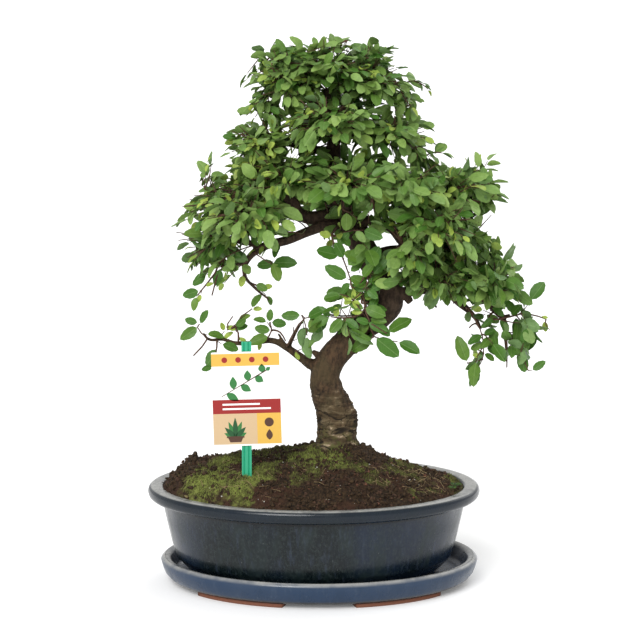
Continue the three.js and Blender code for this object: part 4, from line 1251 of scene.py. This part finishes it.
class Spray:
    """The leaves and twigs of one spray of the crown."""

    def __init__(self, low, high, seed, leaf, wood, sparse=False):
        self.middle = (low + high) / 2
        self.half = (high - low) / 2
        self.draw = random.Random(seed)
        self.cover = leaf.cover
        self.wood = wood
        self.open = sparse
        self.length = leaf.leaf * (1.18 if sparse else 1 if self.middle.z < HIGH_CROWN else 0.85)
        self.pitch = leaf.pitch * (1.5 if sparse else 1)
        self.twigs = []
        self.leaves = []

    def add_twig(self, start, end, sway, thick, thin):
        """A bare twig between two places, bowed at random."""
        self.twigs.append(Twig(start, end, random_vector(self.draw) * sway * MM).route(thick, thin))

    def nearest_to_wood(self, node):
        """Where the spray's stem leaves the bark, taken a little way into the wood."""
        verts = [vert.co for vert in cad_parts[node].data.vertices]
        start = min(verts, key=lambda place: self.wood.find_nearest(place)[3])
        return start + (start - self.middle).normalized() * 2.5 * MM

    def wanted(self):
        """How many leaves cover the spray's ellipsoid."""
        a, b, c = self.half
        power = ELLIPSOID_POWER
        mean = ((a * b) ** power + (a * c) ** power + (b * c) ** power) / 3
        cover = self.cover * (0.46 if self.open else 1.06 - 0.3 * sunlit(self.middle))
        return max(7, cover * (4 * math.pi * mean ** (1 / power)) / (0.5 * self.length ** 2))

    def outward(self, start, pull):
        """A random heading that tends away from the heart of the crown."""
        return (random_vector(self.draw) + (start - CROWN_HEART).normalized() * pull).normalized()

    def grow(self, node):
        """Twigs from a stem to all sides of the spray, until it has its leaves."""
        wanted = self.wanted()
        root = self.nearest_to_wood(node)
        stem = Twig(root, self.middle - UP * 0.2 * self.half.z, UP * 0.1 * self.half.z)
        self.twigs.append(stem.route(1.2, 0.8))
        turn = self.draw.uniform(0, ROUND)
        reach = [max(0.35 * half, half - 0.45 * self.length) for half in self.half]
        most = 0.96 if node.startswith("spray_top_") else 1.12
        for _ in range(MOST_TWIGS):
            if len(self.leaves) >= wanted:
                break
            height = self.draw.uniform(-0.75, 1.0)
            flat = math.sqrt(1 - height * height)
            turn += GOLDEN_TURN
            heading = Vector((flat * math.cos(turn), flat * math.sin(turn), height))
            outer = self.draw.uniform(0.60, 1.0) if self.open else self.draw.triangular(0.55, most, 0.95)
            end = self.middle + stretched(heading, Vector(reach)) * outer
            start = stem.place(self.draw.uniform(0.35, 1.0))
            bow = UP * 0.12 * (end - start).length + random_vector(self.draw) * 2 * MM
            self.leafy(Twig(start, end, bow), outer)
        for _ in range(12 if node.startswith("spray_left_") else 5):
            start = stem.place(self.draw.uniform(0.4, 1.0))
            heading = self.outward(start, 1)
            end = self.middle + stretched(heading, self.half) * self.draw.uniform(0.85, 1.12)
            self.add_twig(start, end, 3, 0.9, 0.35)

    def follow(self, back, twigs, leaves):
        """Twigs and leaves at given places, tied to the wood."""
        routes = []
        for twig in twigs:
            sway = self.draw.uniform(-9, 9)
            route = [from_pot(x, back + sway * i / len(twig), z) for i, (x, z) in enumerate(twig)]
            joints = [place for other in routes for place in other]
            near = min(joints, key=lambda place: (place - route[0]).length, default=None)
            if near is None or (near - route[0]).length > 3 * MM:
                bark, normal, _, gap = self.wood.find_nearest(route[0])
                if near is None or gap < (near - route[0]).length:
                    near = bark - normal * MM
            route.insert(0, near)
            routes.append(route)
            count = len(route)
            self.twigs.append([(place, (1.1 - 0.65 * i / count) * MM) for i, place in enumerate(route)])
        along = [a.lerp(b, i / 6) for route in routes for a, b in zip(route, route[1:]) for i in range(7)]
        for x, z, tip_x, tip_z in leaves:
            base = from_pot(x, back, z)
            near = min(along, key=lambda place: (place.x - base.x) ** 2 + (place.z - base.z) ** 2)
            base.y = near.y + self.draw.uniform(-2, 2) * MM
            if (near - base).length > 1.5 * MM:
                lower = along[max(0, along.index(near) - 4)]
                fork = lower if (lower - near).length < 9 * MM else near
                self.twigs.append([(fork, 0.5 * MM), (base, 0.35 * MM)])
            tip = from_pot(tip_x, base.y / MM, tip_z)
            size = (tip - base).length
            tip.y += self.draw.uniform(-0.35, 0.35) * size
            face = (Vector((0, -0.85, 0.4)) + random_vector(self.draw) * 0.22).normalized()
            youth = 0.85 if size < 10.5 * MM else max(0, self.draw.gauss(0.02, 0.1))
            heading = (tip - base).normalized()
            self.leaves.append((base, heading, face, size * 1.04, 0.1 * self.draw.random(), youth, 0))

    def mingle(self, count):
        """A few leafy twigs to any side from the spray's own twigs."""
        joints = [place for route in self.twigs for place, _ in route[1:]]
        for _ in range(count):
            start = self.draw.choice(joints)
            end = start + self.outward(start, 0.5) * self.draw.uniform(10, 20) * MM
            self.leafy(Twig(start, end, random_vector(self.draw) * 2 * MM), 1.0)

    def sprout(self, x, y, size, count):
        """A seedling on the soil, or one fallen leaf that lies flat."""
        foot = on_mound(x, y)
        if count == 1:
            foot.z = max(foot.z, POT_HIGH.z) + 1.5 * MM
            heading = Vector((0.95, 0.2, 0.05)).normalized()
            face = Vector((-0.1, 0.3, -0.9)).normalized()
            self.leaves.append((foot, heading, face, size * MM, 1, 0, 0))
            return
        top = foot + UP * 1.2 * size * MM
        self.twigs.append([(foot, 0.4 * MM), (top, 0.3 * MM)])
        for i in range(count):
            turn = 2.4 * i + self.draw.random()
            heading = Vector((math.cos(turn), math.sin(turn), 0.5)).normalized()
            face = (UP * 0.6 + Vector((0, -0.6, 0)) - 0.3 * heading).normalized()
            self.leaves.append((top, heading, face, size * MM, 0.2, 0.05, 0))

    def thicken(self, middle, half, count):
        """Leafy twigs round a place, each from a twig of the spray that is near."""
        joints = [place for route in self.twigs for place, _ in route]
        for _ in range(count):
            heading = random_vector(self.draw).normalized()
            end = middle + stretched(heading, half, MM) * self.draw.uniform(0.4, 1.0)
            start = min(joints, key=lambda place: abs((place - end).length - 16 * MM))
            self.leafy(Twig(start, end, random_vector(self.draw) * 2 * MM), 1.0)

    def fill(self, limbs, count):
        """Short shoots all along the crown's limbs."""
        joints = [place for limb in limbs for place, _ in limb if place.z > CROWN_FLOOR]
        for _ in range(count):
            start = self.draw.choice(joints) + random_vector(self.draw) * 3 * MM
            bark, normal = self.wood.find_nearest(start)[:2]
            away = Vector((bark.x - CROWN_HEART.x, bark.y, 0)).normalized()
            heading = (random_vector(self.draw) + away * 0.9 + UP * 0.3).normalized()
            end = bark + heading * self.draw.uniform(22, 48) * MM
            bow = random_vector(self.draw) * 3 * MM + UP * 4 * MM
            self.leafy(Twig(bark - normal * MM, end, bow), 0.85)

    def leafy(self, twig, outer):
        """Leaves at alternate sides along the outer part of a twig."""
        if in_gap(twig.end) or not in_reach(twig.end):
            return
        draw = self.draw
        self.twigs.append(twig.route(0.75, 0.35))
        count = max(3, int(0.78 * (twig.end - twig.start).length / self.pitch))
        young = draw.random() < 0.12 + 0.5 * sunlit(twig.end)
        side = draw.choice((-1, 1))
        for i in range(count):
            share = 0.22 + 0.78 * i / (count - 1)
            place = twig.place(share)
            along = twig.heading(share)
            out = (place - CROWN_HEART).normalized() * 0.55 + (place - self.middle).normalized() * 0.35
            face = (UP * 0.35 + out + random_vector(draw) * 0.42).normalized()
            across = along.cross(face).normalized()
            side = -side
            last = i == count - 1
            swing = math.radians(draw.uniform(-12, 12) if last else draw.uniform(42, 68))
            heading = along * math.cos(swing) + across * (side * math.sin(swing))
            heading.z -= 0.12 + 0.1 * draw.random()
            fresh_leaf = young and share > 0.72
            size = self.length * draw.uniform(0.70, 1.18) * (0.62 if fresh_leaf else 1)
            size *= 0.8 + 0.2 * share
            youth = draw.uniform(0.5, 1.0) if fresh_leaf else max(0, draw.gauss(0.02, 0.10))
            # depth: how far inside the spray a leaf sits, which sets its painted shade.
            depth = max(0, 1 - outer * (0.35 + 0.65 * share) * 1.12)
            if in_gap(place + heading * size * 0.6) or not in_reach(place + heading * size * 1.1):
                continue
            # The tint is each leaf's own random tone with painted sunlight added.
            tint = draw.random()
            painted_sunlight = sunlit(place)
            tint = (0.35 + 0.3 * painted_sunlight) * tint if self.open else tint ** (1 / (0.9 + 2 * painted_sunlight))
            self.leaves.append((place, heading.normalized(), face, size, tint, youth, depth))

    def mesh(self, name, templates):
        """The spray's twigs and leaves, with the marks that its materials read."""
        bm = bmesh.new()
        bark = tubes(name + "_twigs", self.twigs, 4, 2)
        bm.from_mesh(bark)
        bpy.data.meshes.remove(bark)
        for face in bm.faces:
            face.material_index = WOOD
        marks = [(0.5, 0.0, 0.0)] * len(bm.verts)
        bm.loops.layers.uv.new("leaf")
        for place, heading, face, size, *leaf_marks in self.leaves:
            template = self.draw.choice(templates)
            side = face.cross(heading).normalized()
            turn = Matrix((heading, side, heading.cross(side))).transposed().to_4x4()
            wide = self.draw.uniform(0.9, 1.12)
            matrix = Matrix.Translation(place) @ turn @ Matrix.Diagonal((size, size * wide, size, 1))
            add_copy(bm, template, matrix @ Matrix.Translation((0.10, 0, 0)))
            marks += [leaf_marks] * len(template.vertices)
        mesh = bpy.data.meshes.new(name)
        bm.to_mesh(mesh)
        bm.free()
        for label, values in zip(("tint", "youth", "depth"), zip(*marks)):
            mark(mesh, label, values)
        return mesh


class BONSAI_OT_foliage(Operator):
    """Grows each spray's twigs and serrate leaves"""

    bl_idname = "bonsai.foliage"
    bl_label = "Foliage"

    def execute(self, context):
        leaf = context.scene.bonsai_leaf
        templates = [leaf_template(f"leaf_{i}", shape) for i, shape in enumerate(LEAF_SHAPES)]
        twig = plain_finish("twig_bark", leaf.twig, shaded(leaf.twig, 1.9), 500.0, 0.8)
        materials = [leaf_finish("leaf_upper", leaf, leaf.green, (0.34, 0.50)),
                     leaf_finish("leaf_under", leaf, leaf.under, (0.60, 0.75)), twig]
        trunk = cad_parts["trunk"].data
        wood = BVHTree.FromPolygons([vert.co for vert in trunk.vertices],
                                    [face.vertices for face in trunk.polygons])
        for number, node in enumerate(SPRAYS):
            low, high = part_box(node)
            left, right = TRIMS.get(node, (0, 0))
            low.x += left * MM
            high.x -= right * MM
            sparse = node.removeprefix("spray_").startswith(OPEN_SPRAYS)
            spray = Spray(low, high, 1000 + number, leaf, wood, sparse)
            if node.startswith("spray_left_"):
                spray.length *= 0.86
            if node in SHOOTS:
                spray.follow(*SHOOTS[node])
                spray.mingle(EXTRA_TWIGS.get(node, 0))
            else:
                spray.grow(node)
            for place, half, count in PADS.get(node, ()):
                spray.thicken(from_pot(*place), half, count)
            name = node.replace("spray_", "leaves_")
            new_piece(name, spray.mesh(name, templates), materials, [node])
        inner = Spray(*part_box("trunk"), 77, leaf, wood)
        inner.fill([wood_route(points) for points in LIMBS + [TRUNK[-5:]]], 90)
        new_piece("leaves_inner", inner.mesh("leaves_inner", templates), materials)
        ground = Spray(*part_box("soil"), 91, leaf, wood)
        for seedling in SEEDLINGS:
            ground.sprout(*seedling)
        green = plain_finish("seedling_green", (0.016, 0.040, 0.010), (0.060, 0.105, 0.022), 400.0, 0.6)
        fallen = plain_finish("fallen_leaf", (0.110, 0.090, 0.035), (0.300, 0.250, 0.110), 300.0, 0.7)
        new_piece("seedlings", ground.mesh("seedlings", templates), [green, fallen, twig])
        for template in templates:
            bpy.data.meshes.remove(template)
        return {"FINISHED"}


# Label

CARD_WIDE, CARD_TALL, CARD_THICK = 62, 87, 0.8  # in millimetres
CARD_TILT = math.radians(1.6)
INK_SINK, INK_THICK = 0.02, 0.06
STAKE_POINT = 18 * MM
WHITE, RED, YELLOW, GREEN, BROWN, PALE, DARK_GREEN = range(7)


def card_turn():
    """Places the card's own upright plane: x across, z up, from its middle."""
    middle = (CARD_LOW + CARD_HIGH) / 2
    return Matrix.Translation(middle) @ Matrix.Rotation(-CARD_TILT, 4, "Y")


def raised(bm, face, offset):
    """Extrudes a face by an offset, and gives the new corners and the new face."""
    made = bmesh.ops.extrude_face_region(bm, geom=[face])["geom"]
    corners = of_kind(bmesh.types.BMVert, made)
    bmesh.ops.translate(bm, vec=offset, verts=corners)
    return corners, of_kind(bmesh.types.BMFace, made)[0]


def rectangle(x, z, wide, tall):
    return [(x, z), (x + wide, z), (x + wide, z + tall), (x, z + tall)]


def circle(x, z, radius, count=20):
    turns = [2 * math.pi * i / count for i in range(count)]
    return [(x + radius * math.cos(turn), z + radius * math.sin(turn)) for turn in turns]


def leaf_outline(x, z, long, wide, degrees, count=8):
    """A pointed leaf shape that starts at a place and heads along a turn."""
    edge = [(long * i / count, wide * math.sin(math.pi * (i / count) ** 0.85)) for i in range(count + 1)]
    outline = edge[:-1] + [(along, -out) for along, out in reversed(edge[1:])]
    cosine, sine = math.cos(math.radians(degrees)), math.sin(math.radians(degrees))
    return [(x + u * cosine - v * sine, z + u * sine + v * cosine) for u, v in outline]


def card_design():
    """Outlines on the card from its lower left corner in millimetres, with their ink and layer."""
    yield rectangle(0, 74, 62, 11.5), YELLOW, 1
    yield rectangle(0, 30, 62, 13), RED, 1
    yield rectangle(40, 1.5, 22, 28.5), YELLOW, 1
    yield rectangle(0, 1.5, 40, 28.5), PALE, 1
    yield [(8, 46), (9.2, 46), (50, 69), (49.4, 70)], BROWN, 1
    for i in range(6):
        turn = 30 + (62 if i % 2 else -62)
        yield leaf_outline(13 + 6.6 * i, 48.8 + 3.75 * i, 13 - i, 3.4, turn), GREEN, 1
    yield leaf_outline(49.5, 69.4, 5, 1.8, 35), GREEN, 1
    for i in range(4):
        yield circle(12 + 12.5 * i, 79.7, 2.6), RED, 2
    yield circle(51, 21.5, 4.2), BROWN, 2
    yield leaf_outline(51, 5, 10, 3, 90), BROWN, 2
    for i in range(7):
        outline = leaf_outline(20, 7.5, 19 - 2.6 * abs(i - 3), 2.3, 24 + 22 * i)
        yield outline, DARK_GREEN if i % 2 else GREEN, 2 + i % 2
    yield [(13, 8), (15, 3.5), (25, 3.5), (27, 8)], BROWN, 4
    yield rectangle(12, 7.6, 16, 1.4), BROWN, 5
    for i in range(2):
        yield rectangle(9, 33.6 + 4.2 * i, 44 - 10 * i, 1.6), WHITE, 2


class BONSAI_OT_label(Operator):
    """Prints the plant label and moulds its stake"""

    bl_idname = "bonsai.label"
    bl_label = "Plant label"

    def execute(self, context):
        label = context.scene.bonsai_label
        self.card(label)
        self.stake(label)
        return {"FINISHED"}

    def card(self, label):
        """The card with its thin raised prints on the front."""
        tones = (("card_white", (0.86, 0.86, 0.83)), ("ink_red", label.red), ("ink_yellow", label.yellow),
                 ("ink_green", (0.030, 0.165, 0.040)), ("ink_brown", (0.075, 0.032, 0.018)),
                 ("ink_pale", (0.56, 0.40, 0.23)), ("ink_dark_green", (0.012, 0.075, 0.022)))
        inks = [even_finish(name, (shaded(tone, 0.93), tone), (1500.0,), (0.1, 0.0001), Roughness=0.5,
                            Specular_IOR_Level=0.35) for name, tone in tones]
        bm = bmesh.new()
        size = Matrix.Diagonal((CARD_WIDE * MM, CARD_THICK * MM, CARD_TALL * MM, 1))
        bmesh.ops.create_cube(bm, size=1, matrix=size)
        corners = [edge for edge in bm.edges if abs(edge.verts[0].co.y - edge.verts[1].co.y) > 1e-5]
        bevel(bm, corners, 1.5 * MM, 4)
        base = (INK_SINK - CARD_THICK / 2) * MM
        for outline, ink, layer in card_design():
            verts = [bm.verts.new(((x - CARD_WIDE / 2) * MM, base, (z - CARD_TALL / 2) * MM))
                     for x, z in outline]
            offset = (0, -(INK_SINK + layer * INK_THICK) * MM, 0)
            verts += raised(bm, bm.faces.new(verts), offset)[0]
            for side in {side for vert in verts for side in vert.link_faces}:
                side.material_index = ink
        bmesh.ops.recalc_face_normals(bm, faces=bm.faces)
        bmesh.ops.transform(bm, matrix=card_turn(), verts=bm.verts)
        new_piece("card_printed", mesh_from(bm, "card_printed", smooth=False), inks, ["label_card"])

    def stake(self, label):
        """A ribbed stake with a point that is sunk in the soil."""
        middle = (STAKE_LOW + STAKE_HIGH) / 2
        half = (STAKE_HIGH - STAKE_LOW) / 2
        section = [(-1, 1), (-1, -1), (-0.66, -1), (-0.46, -0.35), (-0.24, -1), (0.24, -1), (0.46, -0.35),
                   (0.66, -1), (1, -1), (1, 1)]
        bm = bmesh.new()
        face = bm.faces.new([bm.verts.new((middle.x + x * half.x, middle.y + y * half.y, STAKE_HIGH.z))
                             for x, y in section])
        for drop in (2 * half.z - STAKE_POINT, STAKE_POINT):
            face = raised(bm, face, (0, 0, -drop))[1]
        for vert in face.verts:
            vert.co.x = middle.x + 0.25 * (vert.co.x - middle.x)
        bmesh.ops.recalc_face_normals(bm, faces=bm.faces)
        bevel(bm, bm.edges[:], 0.25 * MM, 2)
        plastic = even_finish("stake_plastic", (shaded(label.stake, 0.75), label.stake),
                              (500.0, 4.0, (1.0, 1.0, 0.2)), (0.15, 0.0002), Roughness=0.35)
        new_piece("stake_moulded", mesh_from(bm, "stake_moulded", smooth=False), [plastic],
                  ["label_stake"])


# Stage

# Each sun's place, how wide it looks in degrees, and its power
SUNS = {"key": ((-0.35, -1.0, 0.72), 30, 2.3), "rim": ((0.6, 0.7, 0.8), 50, 0.7)}
PAPER_RADIUS = 60
PAPER_GLOW = 0.13
AIR_LIGHT = 0.80
VIEW_TARGET = from_pot(5.86, 0, 248.2)
LENS = 151.2


def aim(item, direction):
    """Turns a lamp or camera so that it looks along a direction."""
    item.rotation_euler = direction.to_track_quat("-Z", "Y").to_euler()


class BONSAI_OT_stage(Operator):
    """Sets the floor, the soft lamps and the camera"""

    bl_idname = "bonsai.stage"
    bl_label = "Stage"

    def execute(self, context):
        stage = context.scene.bonsai_stage
        self.paper(stage)
        self.lamps(context.scene)
        self.camera(context.scene, stage)
        context.scene.view_settings.view_transform = "Standard"
        return {"FINISHED"}

    def paper(self, stage):
        """A wide flat sheet under the plant."""
        bm = bmesh.new()
        bmesh.ops.create_circle(bm, cap_ends=True, segments=64, radius=PAPER_RADIUS)
        mesh = mesh_from(bm, "studio_paper", smooth=False)
        finish = Finish("studio_paper", Roughness=0.9, Specular_IOR_Level=0.1,
                        Base_Color=(*stage.floor, 1), Emission_Color=(1, 1, 1, 1),
                        Emission_Strength=PAPER_GLOW)
        mesh.materials.append(finish.material)
        link_object("studio_paper", mesh)

    def lamps(self, scene):
        """Bright air all round and two broad soft suns, which light the paper evenly to its edge."""
        world = bpy.data.worlds.new("studio")
        world.use_nodes = True
        background = world.node_tree.nodes["Background"].inputs
        background["Color"].default_value = (1, 1, 1, 1)
        background["Strength"].default_value = AIR_LIGHT
        scene.world = world
        for name, (place, angle, power) in SUNS.items():
            data = bpy.data.lights.new(name, "SUN")
            data.angle = math.radians(angle)
            data.energy = power
            lamp = link_object(name, data)
            lamp.location = Vector(place) * 2
            aim(lamp, -Vector(place))

    def camera(self, scene, stage):
        back = Vector((0, -math.cos(stage.rise), math.sin(stage.rise)))
        data = bpy.data.cameras.new("camera")
        data.sensor_width = 36
        data.lens = LENS
        camera = link_object("camera", data)
        camera.location = VIEW_TARGET + back * stage.distance
        aim(camera, -back)
        scene.camera = camera


# Panel and registration

OPERATORS = (BONSAI_OT_saucer, BONSAI_OT_pot, BONSAI_OT_drain_mesh, BONSAI_OT_soil, BONSAI_OT_trunk,
             BONSAI_OT_foliage, BONSAI_OT_label, BONSAI_OT_stage)
SETTINGS = {
    "bonsai_glaze": GlazeSettings, "bonsai_soil": SoilSettings, "bonsai_bark": BarkSettings,
    "bonsai_leaf": LeafSettings, "bonsai_label": LabelSettings, "bonsai_stage": StageSettings}


class BONSAI_PT_panel(Panel):
    """Lists the pieces and their settings."""

    bl_label = "Bonsai"
    bl_idname = "BONSAI_PT_panel"
    bl_space_type = "VIEW_3D"
    bl_region_type = "UI"
    bl_category = "Bonsai"

    def draw(self, context):
        for operator in OPERATORS:
            self.layout.operator(operator.bl_idname)
        for name, group in SETTINGS.items():
            box = self.layout.box()
            box.label(text=group.__doc__)
            settings = getattr(context.scene, name)
            for key in group.__annotations__:
                box.prop(settings, key)


def register():
    for group in SETTINGS.values():
        bpy.utils.register_class(group)
    for name, group in SETTINGS.items():
        setattr(bpy.types.Scene, name, PointerProperty(type=group))
    for item in (*OPERATORS, BONSAI_PT_panel):
        bpy.utils.register_class(item)


def unregister():
    for item in reversed((*OPERATORS, BONSAI_PT_panel)):
        bpy.utils.unregister_class(item)
    for name, group in reversed(SETTINGS.items()):
        delattr(bpy.types.Scene, name)
        bpy.utils.unregister_class(group)


def main():
    register()
    bpy.ops.bonsai.saucer()
    bpy.ops.bonsai.pot()
    bpy.ops.bonsai.drain_mesh()
    bpy.ops.bonsai.soil()
    bpy.ops.bonsai.trunk()
    bpy.ops.bonsai.foliage()
    bpy.ops.bonsai.label()
    bpy.ops.bonsai.stage()
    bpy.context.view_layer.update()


if __name__ == "__main__":
    main()
